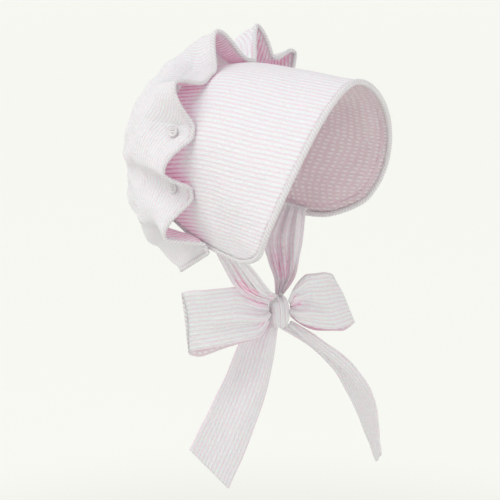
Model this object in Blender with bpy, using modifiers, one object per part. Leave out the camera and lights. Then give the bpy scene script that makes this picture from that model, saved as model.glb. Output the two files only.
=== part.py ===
"""Baby's button-on sun bonnet: a deep piped brim, a puffed crown buttoned over it, and chin ties in a bow.

Metres, +Z up. The face opening looks along -Y and the wearer's right is -X.
The origin is the inside of the brim's top, where the head bears.
Shape tables hold shares of the named sizes above them.
"""
import math

import bmesh
import bpy
import numpy as np
from mathutils import Vector

BRIM_DEPTH = 0.125
BRIM_HEIGHT = 0.127
BRIM_HALF_WIDTH = 0.078
BRIM_CLOTH = 0.0024
CROWN_CLOTH = 0.0016
TIE_CLOTH = 0.0014
PIPING_RADIUS = 0.0020
CROWN_PIPING_RADIUS = 0.0016
CLEARANCE = 0.0004
CROWN_LENGTH = 0.0585
CROWN_PUFF = 0.021
WAVE_LIFT = 0.025
WAVE_PULL = 0.020
BUTTON_RADIUS = 0.0036
BUTTON_THICKNESS = 0.0016
BUTTON_SETBACK = 0.017
BUTTON_STAND = 0.0006
TIE_WIDTH = 0.038
KNOT_HALF = (0.0076, 0.0080, 0.0138)
KNOT_BEVEL = 0.0034
SEAT_FORWARD = -0.025
SEAT_SHARE = 0.514
BOW_FORWARD = -0.009
BOW_DROP = 0.120
BOW_TURN = 36.0

# Brim sections from the face edge to the back edge: how far forward at the top and at the
# bottom (shares of depth), heights (shares of height), half widths, roundness exponent.
BRIM_SHARE = [0.0, 0.33, 0.70, 1.0]
BRIM_TOP_FORWARD = [0.416, 0.096, -0.288, -0.584]
BRIM_BOTTOM_FORWARD = [0.144, -0.112, -0.360, -0.568]
BRIM_TOP = [0.520, 0.520, 0.512, 0.457]
BRIM_WIDEST = [-0.220, -0.094, 0.0, 0.016]
BRIM_BOTTOM = [-0.462, -0.478, -0.447, -0.362]
BRIM_WIDTH = [1.0, 0.885, 0.795, 0.756]
BRIM_TUCK = [0.872, 0.718, 0.654, 0.615]
BRIM_ROUND = [1.72, 1.82, 2.10, 2.10]
ARCH_SHARE = 0.60
BRIM_RAKE = 2.0
CORNER_START = 0.78
CORNER_DEPTH = 0.24
FAR_SET = 0.072
FAR_TUCK = 0.07
FAR_RAISE = 0.004

# Crown edge: where it lies on the brim, as a share of the way round and of the brim's depth.
EDGE_AROUND = [0.0, 0.146, 0.285, 0.448, 0.58, 0.714, 0.93, 1.0]
EDGE_ALONG = [0.83, 0.83, 0.80, 0.75, 0.735, 0.715, 0.62, 0.55]

# Crown puff above the brim's own shape, by way round.
PUFF_AROUND = [0.0, 0.3, 0.58, 0.714, 0.80, 0.93, 1.0, 1.18]
PUFF_SHARE = [0.90, 0.56, 0.52, 0.42, 0.46, 0.74, 0.45, 0.0]

# Crown waves: start, peak, end (way round), lift, pull, rise and fall exponents.
NEAR_WAVES = [
    (-0.146, 0.020, 0.146, 0.86, 0.50, 2.9, 1.7),
    (0.146, 0.310, 0.448, 0.84, 0.42, 4.5, 1.3),
    (0.448, 0.600, 0.714, 0.60, 0.60, 1.3, 1.4),
    (0.714, 0.890, 0.985, 0.76, 0.90, 1.4, 1.2),
]
FAR_WAVES = [
    (0.146, 0.208, 0.370, 1.16, 0.68, 1.2, 1.4),
    (0.270, 0.390, 0.448, 1.46, 0.56, 1.3, 1.2),
    (0.448, 0.600, 0.714, 0.66, 0.50, 1.4, 1.4),
    (0.714, 0.890, 0.985, 0.72, 0.85, 1.4, 1.2),
]
VALLEY_HALF = 0.020
CREASE_REACH = 1.7
FLAP_END = 1.18
FLAP_CORNER = (-0.059, 0.0500, -0.0785)
FLAP_BACK = (-0.0865, 0.0432, -0.0690)
EDGE_STAND = 0.0013
LAP_SHARE = 0.36
NAPE_RISE = 0.019
NAPE_FORWARD = 0.011

FABRIC = (0.80, 0.74, 0.76)
PIPING = (0.84, 0.77, 0.79)
BUTTON = (0.72, 0.70, 0.70)


def table(x, keys, values):
    """Monotone smooth curve through a short table."""
    keys = np.asarray(keys, float)
    values = np.asarray(values, float)
    x = np.clip(np.asarray(x, float), keys[0], keys[-1])
    step = np.diff(keys)
    rate = np.diff(values) / step
    slope = np.zeros(len(keys))
    slope[0] = rate[0]
    slope[-1] = rate[-1]
    for i in range(1, len(keys) - 1):
        if rate[i - 1] * rate[i] > 0:
            slope[i] = 2 * rate[i - 1] * rate[i] / (rate[i - 1] + rate[i])
    k = np.clip(np.searchsorted(keys, x, side="right") - 1, 0, len(keys) - 2)
    u = (x - keys[k]) / step[k]
    head = (2 * u**3 - 3 * u**2 + 1) * values[k] + (u**3 - 2 * u**2 + u) * step[k] * slope[k]
    tail = (3 * u**2 - 2 * u**3) * values[k + 1] + (u**3 - u**2) * step[k] * slope[k + 1]
    return head + tail


def brim_half(around, along):
    """Point of the brim's outside on one side: (forward, sideways, up)."""
    around = np.asarray(around, float)
    along = np.asarray(along, float)
    top_forward = BRIM_DEPTH * table(along, BRIM_SHARE, BRIM_TOP_FORWARD)
    bottom_forward = BRIM_DEPTH * table(along, BRIM_SHARE, BRIM_BOTTOM_FORWARD)
    top = BRIM_HEIGHT * table(along, BRIM_SHARE, BRIM_TOP)
    widest = BRIM_HEIGHT * table(along, BRIM_SHARE, BRIM_WIDEST)
    bottom = BRIM_HEIGHT * table(along, BRIM_SHARE, BRIM_BOTTOM)
    width = BRIM_HALF_WIDTH * table(along, BRIM_SHARE, BRIM_WIDTH)
    tuck = BRIM_HALF_WIDTH * table(along, BRIM_SHARE, BRIM_TUCK)
    power = 2.0 / table(along, BRIM_SHARE, BRIM_ROUND)
    angle = np.clip(around / ARCH_SHARE, 0, 1) * math.pi / 2
    fall = np.clip((around - ARCH_SHARE) / (1 - ARCH_SHARE), 0, 1.2)
    arch = around < ARCH_SHARE
    side = np.where(arch, width * np.sin(angle) ** power, width - (width - tuck) * fall**2)
    cosine = np.maximum(np.cos(angle), 1e-9) ** power
    up = np.where(arch, widest + (top - widest) * cosine, widest - (widest - bottom) * fall)
    drop = (top - up) / (top - bottom)
    forward = top_forward - (top_forward - bottom_forward) * drop**BRIM_RAKE
    return np.stack([forward, side, up], -1)


def corner_start(around):
    """Share of the brim's depth that its rounded front corner takes away."""
    v = np.clip((np.abs(around) - CORNER_START) / (1 - CORNER_START), 0, 1)
    return CORNER_DEPTH * (1 - np.sqrt(1 - v**2))


def brim_point(around, along):
    """Point of the brim's outside; negative way round is the wearer's left."""
    around, along = np.broadcast_arrays(np.asarray(around, float), np.asarray(along, float))
    point = brim_half(np.abs(around), along)
    low = np.clip(np.abs(around) - 0.5, 0, 0.5) * 2
    far = around < 0
    draw = np.where(far, 1 - (FAR_SET + FAR_TUCK * low) * (1 - along), 1.0)
    point[..., 1] *= np.where(far, -draw, 1.0)
    point[..., 2] += np.where(far, FAR_RAISE * low * (1 - along), 0.0)
    return point


def brim_inward(around, along):
    """Unit vector from the brim's outside towards the head."""
    e = 1e-3
    low = np.clip(along - e, 0, 1 - 2 * e)
    d_around = brim_point(around + e, along) - brim_point(around - e, along)
    d_along = brim_point(around, low + 2 * e) - brim_point(around, low)
    normal = np.cross(d_around, d_along)
    return -normal / np.linalg.norm(normal, axis=-1, keepdims=True)


def wave(around):
    """Weight, lift and pull of the crown edge's waves."""
    flat = np.ones_like(around)
    lift = np.zeros_like(around)
    pull = np.zeros_like(around)
    total = np.zeros_like(around)
    for way, rows in ((around, NEAR_WAVES), (-around, FAR_WAVES)):
        for start, peak, end, up, back, rise, fall in rows:
            left = (way - start - VALLEY_HALF) / (peak - start - VALLEY_HALF)
            right = (end - way - VALLEY_HALF) / (end - peak - VALLEY_HALF)
            u = np.clip(np.where(way < peak, left, right), 0, 1)
            share = np.sin(u * math.pi / 2) ** np.where(way < peak, rise, fall)
            flat = flat * (1 - share)
            lift = lift + share * WAVE_LIFT * up
            pull = pull + share * WAVE_PULL * back
            total = total + share
    total = np.maximum(total, 1e-9)
    return 1 - flat, lift / total, pull / total


def crown_point(around, along):
    """Point of the crown's outside.

    around runs past one on the neck flap; along is 0 at the free edge, 1 on the back's centre line.
    """
    around, along = np.broadcast_arrays(np.asarray(around, float), np.asarray(along, float))
    way = np.minimum(np.abs(around), 1.0)
    edge = table(way, EDGE_AROUND, EDGE_ALONG)
    e = 2e-3
    mid = np.clip(way, e, 1 - e)
    run = brim_half(mid + e, edge) - brim_half(mid - e, edge)
    normal = np.stack([np.zeros_like(way), np.abs(run[..., 2]), run[..., 1]], -1)
    normal /= np.linalg.norm(normal, axis=-1, keepdims=True)
    weight, lift, pull = wave(around)
    puff = CROWN_PUFF * table(np.abs(around), PUFF_AROUND, PUFF_SHARE)
    lap = np.clip(along / LAP_SHARE, 0, 1)
    base = brim_half(way, edge + (1 - edge) * lap)
    flap = np.clip((np.abs(around) - 1) / (FLAP_END - 1), 0, 1)[..., None]
    front = np.array(FLAP_CORNER) - brim_half(1.0, EDGE_ALONG[-1])
    back = np.array(FLAP_BACK) - brim_half(1.0, 1.0)
    base = base + flap * (front * (1 - lap[..., None]) + back * lap[..., None])
    dome = np.clip((along - LAP_SHARE) / (1 - LAP_SHARE), 0, 1)
    lap_length = np.linalg.norm(brim_half(way, np.ones_like(way)) - brim_half(way, edge), axis=-1)
    distance = lap * lap_length + dome * 1.5 * CROWN_LENGTH
    reach = table(np.abs(around), [0.55, 0.714, 0.85], [1.0, CREASE_REACH, 1.0])
    still = table(distance / reach, [0, 0.013, 0.024, 0.036, 0.048], [0, 0, 0.35, 0.8, 1])
    moved = table(distance, [0, 0.015, 0.030, 0.048], [0, 0.12, 0.55, 1])
    out = (1 - weight) * puff * still + weight * (lift + (puff - lift) * moved)
    over_piping = table(way, [0.0, 0.90, 0.96, 1.0], [0.0, 0.0, 0.0016, 0.0020])
    stand = EDGE_STAND * (1 - table(distance, [0, 0.002, 0.008], [0, 0.1, 1]))
    out = out + CROWN_CLOTH + CLEARANCE + over_piping + stand
    point = base + normal * out[..., None]
    point[..., 0] -= weight * pull * (1 - table(distance, [0, 0.020, 0.040], [0, 0.6, 1]))
    low = np.clip((np.abs(around) - ARCH_SHARE) / (FLAP_END - ARCH_SHARE), 0, 1)
    pole = -0.584 * BRIM_DEPTH - CROWN_LENGTH + NAPE_FORWARD * low**2
    centre = np.stack([pole, np.zeros_like(pole), (FLAP_CORNER[2] + NAPE_RISE) * low], -1)
    power = 2.0 / table(np.abs(around), [0, ARCH_SHARE, FLAP_END], [1.46, 1.90, 2.00])
    cosine = np.maximum(np.cos(dome * math.pi / 2), 1e-9) ** power
    sine = np.maximum(np.sin(dome * math.pi / 2), 0.0) ** power
    rounded = centre + (point - centre) * cosine[..., None]
    rounded[..., 0] = point[..., 0] - (point[..., 0] - pole) * sine
    point = np.where((dome > 0)[..., None], rounded, point)
    point[..., 1] *= np.where(around < 0, -1.0, 1.0)
    return point


SEAT_UP = BRIM_HEIGHT * SEAT_SHARE - BRIM_CLOTH


def world(point):
    """Row frame from (forward, sideways, up)."""
    point = np.asarray(point, float)
    return np.stack([-point[..., 1], SEAT_FORWARD - point[..., 0], point[..., 2] - SEAT_UP], -1)


def bow_point(right, up, out):
    """(forward, sideways, up) of a place in the bow's own frame."""
    turn = math.radians(BOW_TURN)
    forward = BOW_FORWARD + right * math.sin(turn) + out * math.cos(turn)
    sideways = -right * math.cos(turn) + out * math.sin(turn)
    return np.stack([forward, sideways, up - BOW_DROP], -1)


def finish(name, colour, roughness):
    """Plain material of one sub-part."""
    material = bpy.data.materials.new(name)
    material.use_nodes = True
    shader = material.node_tree.nodes["Principled BSDF"]
    shader.inputs["Base Color"].default_value = (*colour, 1.0)
    shader.inputs["Roughness"].default_value = roughness
    shader.inputs["Metallic"].default_value = 0.0
    return material


def keep(name, obj, colour, roughness, smooth=True):
    """Name, dress and collect a sub-part."""
    obj.name = name
    obj.data.name = name
    obj.data.materials.clear()
    obj.data.materials.append(finish(name, colour, roughness))
    for owner in list(obj.users_collection):
        owner.objects.unlink(obj)
    bonnet.objects.link(obj)
    if smooth and obj.type == "MESH":
        for face in obj.data.polygons:
            face.use_smooth = True
    return obj


def sheet(name, points, faces, cloth, inward, colour, roughness):
    """Cloth of even thickness from one skin of points."""
    mesh = bpy.data.meshes.new(name)
    mesh.from_pydata([tuple(p) for p in points], [], faces)
    mesh.update()
    build = bmesh.new()
    build.from_mesh(mesh)
    bmesh.ops.recalc_face_normals(build, faces=build.faces)
    build.to_mesh(mesh)
    build.free()
    obj = bpy.data.objects.new(name, mesh)
    bpy.context.scene.collection.objects.link(obj)
    solid = obj.modifiers.new("cloth", "SOLIDIFY")
    solid.thickness = cloth
    solid.offset = inward
    solid.use_even_offset = True
    solid.use_quality_normals = True
    return keep(name, obj, colour, roughness)


def grid_faces(rows, columns):
    """Quads of a grid stored row by row."""
    return [
        (i * columns + j, i * columns + j + 1, (i + 1) * columns + j + 1, (i + 1) * columns + j)
        for i in range(rows - 1)
        for j in range(columns - 1)
    ]


def cord(name, path, radius, colour):
    """Round piping along a path."""
    curve = bpy.data.curves.new(name, "CURVE")
    curve.dimensions = "3D"
    curve.bevel_depth = radius
    curve.bevel_resolution = 1
    curve.use_fill_caps = True
    spline = curve.splines.new("POLY")
    spline.points.add(len(path) - 1)
    for knot, place in zip(spline.points, path):
        knot.co = (*place, 1.0)
    obj = bpy.data.objects.new(name, curve)
    bpy.context.scene.collection.objects.link(obj)
    return keep(name, obj, colour, 0.85, smooth=False)


def brim_edge_ways():
    """Stations (way round, along) of the brim's piped edge, from one back corner to the other."""
    lower = [(1.0, t) for t in np.linspace(1.0, 0.30, 12)]
    corner = [(CORNER_START + (1 - CORNER_START) * math.sin(v), CORNER_DEPTH * (1 - math.cos(v)))
              for v in np.radians([90, 76, 62, 48, 34, 18])]
    front = [(s, 0.0) for s in np.linspace(CORNER_START, 0.0, 20)]
    near = lower + corner + front
    return near + [(-s, t) for s, t in reversed(near[:-1])]


def build_brim():
    """Brim cloth, held back from its piping by a clearance."""
    arch = np.linspace(0, CORNER_START, 19)
    corner = [CORNER_START + (1 - CORNER_START) * math.sin(v) for v in np.radians([18, 34, 48, 62, 74])]
    inset = (PIPING_RADIUS + CLEARANCE)
    low_end = 1.0 - 1.15 * inset / (BRIM_HEIGHT * 0.62)
    half = [s * low_end for s in list(arch) + corner] + [low_end]
    ways = np.array([-s for s in reversed(half[1:])] + half)
    columns = 10
    points = []
    for s in ways:
        turned = np.clip((abs(s) / low_end - CORNER_START) / (1 - CORNER_START), 0, 1)
        edge = corner_start(s / low_end)
        rate = np.linalg.norm(brim_point(s, edge + 0.01) - brim_point(s, edge)) / 0.01
        first = edge + inset * (1 + 0.8 * turned) / rate
        share = first + (1 - first) * np.linspace(0, 1, columns)
        points.append(brim_point(np.full(columns, s), share))
    points = world(np.concatenate(points))
    return sheet("brim", points, grid_faces(len(ways), columns), BRIM_CLOTH, -1.0, FABRIC, 0.85)


def build_brim_piping():
    """Piping on the brim's free edge, centred in the thickness of the cloth."""
    path = []
    for s, t in brim_edge_ways():
        around = np.array(s)
        along = np.array(min(max(t, 0.0), 0.995))
        inner = brim_inward(np.array(np.clip(s, -0.995, 0.995)), along)
        path.append(world(brim_point(around, along) + inner * BRIM_CLOTH / 2))
    return cord("brim_piping", path, PIPING_RADIUS, PIPING)


def crown_ways():
    """Rows of the crown: on every valley and its sides, and closer where a wave turns."""
    rows = []
    for sign, waves in ((1, NEAR_WAVES), (-1, FAR_WAVES)):
        for start, peak, end, *_ in waves:
            climb = peak - start - VALLEY_HALF
            fall = end - peak - VALLEY_HALF
            rows.append(sign * start)
            rows += [sign * (start + VALLEY_HALF + climb * u) for u in (0.0, 0.12, 0.3, 0.62, 1.0)]
            rows += [sign * (peak + fall * u) for u in (0.38, 0.7, 1.0)]
        rows += [sign * s for s in (1.0, 1.06, 1.12, FLAP_END)]
    chosen = []
    for row in sorted(rows):
        if not chosen or row - chosen[-1] > 0.006:
            chosen.append(row)
    return np.array(chosen)


def build_crown():
    """Crown cloth: rays from the free edge to the centre line of the back, welded there."""
    ways = crown_ways()
    along = np.array([0, 0.07, 0.14, 0.23, 0.32, 0.42, 0.53, 0.68, 0.85])
    inset = LAP_SHARE * (CROWN_PIPING_RADIUS + CLEARANCE) / 0.0155
    along = inset + (1 - inset) * along
    points = []
    for s in ways:
        points += list(crown_point(np.full(len(along), s), along))
    faces = grid_faces(len(ways), len(along))
    pole = len(points)
    points.append(crown_point(np.array(0.0), np.array(1.0)))
    shared = {}
    centre_of = []
    for s in ways:
        key = round(abs(s), 6)
        if key > ARCH_SHARE and key not in shared:
            shared[key] = len(points)
            points.append(crown_point(np.array(s), np.array(1.0)))
        centre_of.append(shared.get(key, pole))
    last = len(along) - 1
    columns = len(along)
    for i in range(len(ways) - 1):
        a = i * columns + last
        b = (i + 1) * columns + last
        ring = (a, centre_of[i], centre_of[i + 1], b)
        faces.append(ring if centre_of[i] != centre_of[i + 1] else (a, centre_of[i], b))
    obj = sheet("crown", world(np.array(points)), faces, CROWN_CLOTH, -1.0, FABRIC, 0.85)
    return obj


def build_crown_piping():
    """Piping on the crown's wavy free edge, down to the flap's corners."""
    ways = crown_ways()
    outer = crown_point(ways, np.zeros_like(ways))
    behind = crown_point(ways, np.full_like(ways, 0.02))
    across = np.gradient(outer, axis=0)
    inward = np.cross(behind - outer, across)
    inward /= np.linalg.norm(inward, axis=1, keepdims=True)
    middle = np.array([-0.03, 0.0, 0.0])
    flip = np.sign(np.sum(inward * (middle - outer), axis=1, keepdims=True))
    path = world(outer + inward * flip * CROWN_CLOTH / 2)
    return cord("crown_piping", path, CROWN_PIPING_RADIUS, PIPING)


def button(name, way):
    """Flat button with a bevelled rim, resting on the crown in a valley."""
    edge = table(abs(way), EDGE_AROUND, EDGE_ALONG)
    lap_length = float(np.linalg.norm(brim_half(abs(way), 1.0) - brim_half(abs(way), edge)))
    along = LAP_SHARE * BUTTON_SETBACK / lap_length
    round_step = BUTTON_RADIUS / float(np.linalg.norm(crown_point(way + 0.01, along) - crown_point(way, along))) * 0.01
    long_step = LAP_SHARE * BUTTON_RADIUS / lap_length
    here = world(crown_point(way, along))
    flat = world(crown_point(np.array([way - round_step, way + round_step]), along))
    length = world(crown_point(way, np.array([along - long_step, along + long_step])))
    normal = np.cross(flat[1] - flat[0], length[1] - length[0])
    normal /= np.linalg.norm(normal)
    middle = world(np.array([-0.03, 0.0, 0.0]))
    if np.dot(normal, here - middle) < 0:
        normal = -normal
    spread = np.linspace(-1.4, 1.4, 9)
    ways, alongs = np.meshgrid(way + round_step * spread, along + long_step * spread)
    under = world(crown_point(ways.ravel(), alongs.ravel())) - here
    height = under @ normal
    reach = np.linalg.norm(under - height[:, None] * normal, axis=1)
    seat = float(height[reach < BUTTON_RADIUS * 1.15].max()) + BUTTON_STAND
    bpy.ops.mesh.primitive_cylinder_add(vertices=20, radius=BUTTON_RADIUS, depth=BUTTON_THICKNESS)
    obj = bpy.context.object
    rim = obj.modifiers.new("rim", "BEVEL")
    rim.width = BUTTON_THICKNESS * 0.3
    rim.segments = 1
    rim.limit_method = "ANGLE"
    obj.location = here + normal * (seat + BUTTON_THICKNESS / 2)
    obj.rotation_mode = "QUATERNION"
    obj.rotation_quaternion = Vector(normal).to_track_quat("Z", "Y")
    return keep(name, obj, BUTTON, 0.35, smooth=False)


def ribbon(name, left, right, pleat, rows, columns=7):
    """Strap between two edge curves, each a list of (forward, sideways, up), with a lengthwise pleat."""
    left = np.array(left)
    right = np.array(right)
    keys = np.linspace(0, 1, len(left))
    share = np.linspace(0, 1, rows)
    a = np.stack([table(share, keys, left[:, i]) for i in range(3)], -1)
    b = np.stack([table(share, keys, right[:, i]) for i in range(3)], -1)
    depth = table(share, np.linspace(0, 1, len(pleat)), pleat)
    run = np.gradient((a + b) / 2, axis=0)
    normal = np.cross(run, b - a)
    normal /= np.linalg.norm(normal, axis=1, keepdims=True)
    points = []
    for i in range(rows):
        for v in np.linspace(0, 1, columns):
            fold = depth[i] * math.sin(v * 2 * math.pi)
            points.append(a[i] * (1 - v) + b[i] * v + normal[i] * fold)
    return sheet(name, world(np.array(points)), grid_faces(rows, columns), TIE_CLOTH, 0.0, FABRIC, 0.85)


def bow_edge(rows, side=0.0, rise=0.0):
    """Edge curve from rows of (right, up, out), shares of the tie's width counted from a face of the knot."""
    across = side * (KNOT_HALF[0] + CLEARANCE)
    above = rise * (KNOT_HALF[2] + CLEARANCE)
    return [bow_point(across + x * TIE_WIDTH, above + z * TIE_WIDTH, y * TIE_WIDTH) for x, z, y in rows]


def inside_brim(around, along):
    """Place of a tie's middle plane on the brim's inside, and past the piping at its lower edge."""
    over_cloth = BRIM_CLOTH + CLEARANCE + TIE_CLOTH / 2
    over_piping = BRIM_CLOTH / 2 + PIPING_RADIUS + CLEARANCE + TIE_CLOTH / 2
    depth = over_cloth + (over_piping - over_cloth) * float(table(around if around > 0 else -around, [0.93, 0.98], [0.0, 1.0]))
    return brim_point(np.array(around), np.array(along)) + brim_inward(np.array(around), np.array(along)) * depth


# Chin ties below the brim, from the knot's top: (right, up, out) of the back edge, then of the front edge.
TIE_RIGHT_BACK = [(-1.14, 0.67, 0.18), (-0.94, 0.32, 0.27), (-0.62, 0.10, 0.28), (-0.25, -0.08, 0.16)]
TIE_RIGHT_FRONT = [(-0.65, 0.69, 0.62), (-0.41, 0.34, 0.44), (-0.28, 0.18, 0.30), (-0.11, 0.05, 0.16)]
TIE_LEFT_BACK = [(0.01, 0.87, -0.98), (0.02, 0.44, -0.68), (0.06, 0.13, -0.42), (0.02, -0.12, -0.26)]
TIE_LEFT_FRONT = [(0.77, 0.84, -0.8), (0.64, 0.47, -0.64), (0.45, 0.12, -0.42), (0.17, -0.12, -0.26)]


def build_ties():
    """Chin ties, from inside the brim's lower edge to the top of the knot."""
    sets = (
        ("tie_right", 1, 0.58, 0.24, TIE_RIGHT_BACK, TIE_RIGHT_FRONT),
        ("tie_left", -1, 0.66, 0.38, TIE_LEFT_BACK, TIE_LEFT_FRONT),
    )
    for name, sign, back, front, back_rows, front_rows in sets:
        left = [inside_brim(sign * way, back) for way in (0.95, 0.97, 0.99)]
        right = [inside_brim(sign * way, front) for way in (0.95, 0.97, 0.99)]
        left += bow_edge(back_rows, rise=1.0)
        right += bow_edge(front_rows, rise=1.0)
        ribbon(name, left, right, [0.0, 0.0, 0.0, 0.0010, 0.0016, 0.0014, 0.0008], 19)


# Bow outlines from the knot's sides and foot: (right, up, out) of the two edges, station by station.
LOOP_RIGHT_TOP = [(-0.03, 0.24, 0.05), (-0.27, 0.39, 0.12), (-0.74, 0.69, 0.18), (-1.46, 0.71, 0.15),
                  (-1.77, 0.63, 0), (-1.38, 0.55, -0.12), (-0.64, 0.47, -0.14), (-0.19, 0.25, -0.12),
                  (-0.01, 0.15, -0.06)]
LOOP_RIGHT_LOW = [(-0.05, -0.17, 0.1), (-0.24, -0.35, 0.22), (-0.86, -0.44, 0.22), (-1.37, -0.51, 0.15),
                  (-1.65, -0.62, 0), (-1.33, -0.78, -0.12), (-0.8, -0.68, -0.16), (-0.18, -0.55, -0.14),
                  (-0.01, -0.3, -0.08)]
LOOP_LEFT_TOP = [(0.01, 0.26, 0.05), (0.1, 0.6, 0.16), (0.29, 0.8, 0.24), (0.61, 0.77, 0.17),
                 (0.91, 0.62, 0), (0.74, 0.57, -0.16), (0.47, 0.52, -0.22), (0.24, 0.38, -0.17),
                 (0.05, 0.17, -0.06)]
LOOP_LEFT_LOW = [(0.01, -0.04, 0.1), (0.13, -0.16, 0.22), (0.47, -0.31, 0.25), (0.98, -0.45, 0.17),
                 (1.39, -0.44, 0), (1.18, -0.66, -0.16), (0.7, -0.61, -0.22), (0.29, -0.39, -0.17),
                 (0.06, -0.17, -0.08)]
TAIL_RIGHT_BACK = [(-0.07, 0.15, -0.245), (-0.6, -0.16, -0.32), (-1.02, -0.92, -0.2), (-1.47, -1.62, -0.04),
                   (-1.9, -2.31, 0.1)]
TAIL_RIGHT_FRONT = [(0.07, 0.15, -0.245), (0.01, -0.42, -0.26), (-0.2, -1.27, -0.12), (-0.62, -2.29, 0.04),
                    (-1.11, -3.3, 0.14)]
TAIL_LEFT_BACK = [(0.12, -0.065, -0.06), (0.62, -0.46, -0.24), (1.27, -1.15, -0.36), (1.87, -2.27, -0.42),
                  (2.35, -3.53, -0.38)]
TAIL_LEFT_FRONT = [(0.262, 0.13, 0.015), (0.82, -0.28, 0.12), (1.46, -0.85, 0.4), (1.92, -1.74, 0.5),
                   (2.07, -2.92, 0.46)]


def build_bow():
    """Knot, two loops and two tails."""
    bpy.ops.mesh.primitive_cube_add(size=2.0)
    knot = bpy.context.object
    for vertex in knot.data.vertices:
        vertex.co = [c * h for c, h in zip(vertex.co, KNOT_HALF)]
    rounding = knot.modifiers.new("rounding", "BEVEL")
    rounding.width = KNOT_BEVEL
    rounding.segments = 3
    knot.location = world(bow_point(0.0, 0.0, 0.0))
    knot.rotation_euler = (0.0, 0.0, -math.radians(BOW_TURN))
    keep("bow_knot", knot, FABRIC, 0.85)
    flat = [0.0, 0.0, 0.0]
    ribbon("bow_loop_right", bow_edge(LOOP_RIGHT_TOP, -1.0), bow_edge(LOOP_RIGHT_LOW, -1.0), flat, 26, 5)
    ribbon("bow_loop_left", bow_edge(LOOP_LEFT_TOP, 1.0), bow_edge(LOOP_LEFT_LOW, 1.0), flat, 26, 5)
    fall = [0.0, 0.0012, 0.0018, 0.0014, 0.0006]
    ribbon("tail_right", bow_edge(TAIL_RIGHT_BACK, rise=-1.0), bow_edge(TAIL_RIGHT_FRONT, rise=-1.0), fall, 14)
    ribbon("tail_left", bow_edge(TAIL_LEFT_BACK, rise=-1.0), bow_edge(TAIL_LEFT_FRONT, rise=-1.0), fall, 14)


for item in list(bpy.data.objects):
    bpy.data.objects.remove(item, do_unlink=True)
bonnet = bpy.data.collections.new("bonnet")
bpy.context.scene.collection.children.link(bonnet)
build_brim()
build_brim_piping()
build_crown()
build_crown_piping()
valleys = [0.464, 0.730, 0.978, -0.464, -0.730, -0.978]
for index, valley in enumerate(valleys):
    button(f"button_{index + 1}", valley)
build_ties()
build_bow()
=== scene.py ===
import logging
import math
from collections.abc import Sequence
from dataclasses import dataclass
from enum import Enum

import bpy
import numpy as np
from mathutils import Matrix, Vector
from mathutils.bvhtree import BVHTree


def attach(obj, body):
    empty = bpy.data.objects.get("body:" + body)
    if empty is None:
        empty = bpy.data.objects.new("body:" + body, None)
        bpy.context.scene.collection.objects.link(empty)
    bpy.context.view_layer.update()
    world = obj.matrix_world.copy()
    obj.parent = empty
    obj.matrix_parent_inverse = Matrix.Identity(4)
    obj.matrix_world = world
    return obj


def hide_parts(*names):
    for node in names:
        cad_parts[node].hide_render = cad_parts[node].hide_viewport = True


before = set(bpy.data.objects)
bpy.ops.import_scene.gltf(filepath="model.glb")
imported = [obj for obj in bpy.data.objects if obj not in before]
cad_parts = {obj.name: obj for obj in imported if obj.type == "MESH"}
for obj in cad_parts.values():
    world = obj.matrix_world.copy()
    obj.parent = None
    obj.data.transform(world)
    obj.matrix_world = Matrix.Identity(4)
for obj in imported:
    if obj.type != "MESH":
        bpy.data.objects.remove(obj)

# Design coordinates are (forward, sideways to the wearer's right, up), in metres.

log = logging.getLogger("bonnet")
Array = np.ndarray
Number = float | Array
Row = tuple[float, ...]
TURN = 2.0 * math.pi


class Held(Enum):
    """How a sheet of cloth is held up."""

    DRAPED = "draped"
    HUNG = "hung"
    FOLDED = "folded"


class Slot(Enum):
    """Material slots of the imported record."""

    SEERSUCKER = "seersucker"
    PIPING = "piping"
    BUTTON = "button"


@dataclass(frozen=True)
class Curve:
    """Monotone smooth curve through a short table."""

    keys: Row
    values: Row

    def __call__(self, x: Number) -> Array:
        """Read the curve.

        Args:
            x: places along the keys, held within their range.

        Returns:
            The values there.
        """
        keys = np.asarray(self.keys, float)
        values = np.asarray(self.values, float)
        x = np.clip(np.asarray(x, float), keys[0], keys[-1])
        step = np.diff(keys)
        rate = np.diff(values) / step
        slope = np.zeros(len(keys))
        slope[0] = rate[0]
        slope[-1] = rate[-1]
        for i in range(1, len(keys) - 1):
            if rate[i - 1] * rate[i] > 0:
                slope[i] = 2 * rate[i - 1] * rate[i] / (rate[i - 1] + rate[i])
        k = np.clip(np.searchsorted(keys, x, side="right") - 1, 0, len(keys) - 2)
        u = (x - keys[k]) / step[k]
        head = (2 * u**3 - 3 * u**2 + 1) * values[k] + (u**3 - 2 * u**2 + u) * step[k] * slope[k]
        tail = (3 * u**2 - 2 * u**3) * values[k + 1] + (u**3 - u**2) * step[k] * slope[k + 1]
        return head + tail


def unit(vectors: Array) -> Array:
    """Vectors of length one along the last axis."""
    return vectors / np.maximum(np.linalg.norm(vectors, axis=-1, keepdims=True), 1e-12)


def ripple(a: Array, b: Array, seed: int, size: float) -> Array:
    """Smooth irregular relief.

    Args:
        a: first surface coordinate, in metres.
        b: second surface coordinate, in metres.
        seed: chooses the directions and phases.
        size: mean wavelength, in metres.

    Returns:
        Heights between about minus one and one.
    """
    chance = np.random.default_rng(seed)
    total = np.zeros_like(a)
    for _ in range(7):
        way = chance.uniform(0, TURN)
        length = size * chance.uniform(0.7, 1.6)
        total += np.sin((a * math.cos(way) + b * math.sin(way)) * TURN / length + chance.uniform(0, TURN))
    return total / 3.2


def grid_faces(rows: int, columns: int) -> list[tuple[int, ...]]:
    """Quads of a grid stored row by row.

    Args:
        rows: number of rows.
        columns: number of points in each row.

    Returns:
        Corner numbers of each quad.
    """
    return [
        (i * columns + j, i * columns + j + 1, (i + 1) * columns + j + 1, (i + 1) * columns + j)
        for i in range(rows - 1)
        for j in range(columns - 1)
    ]


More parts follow.
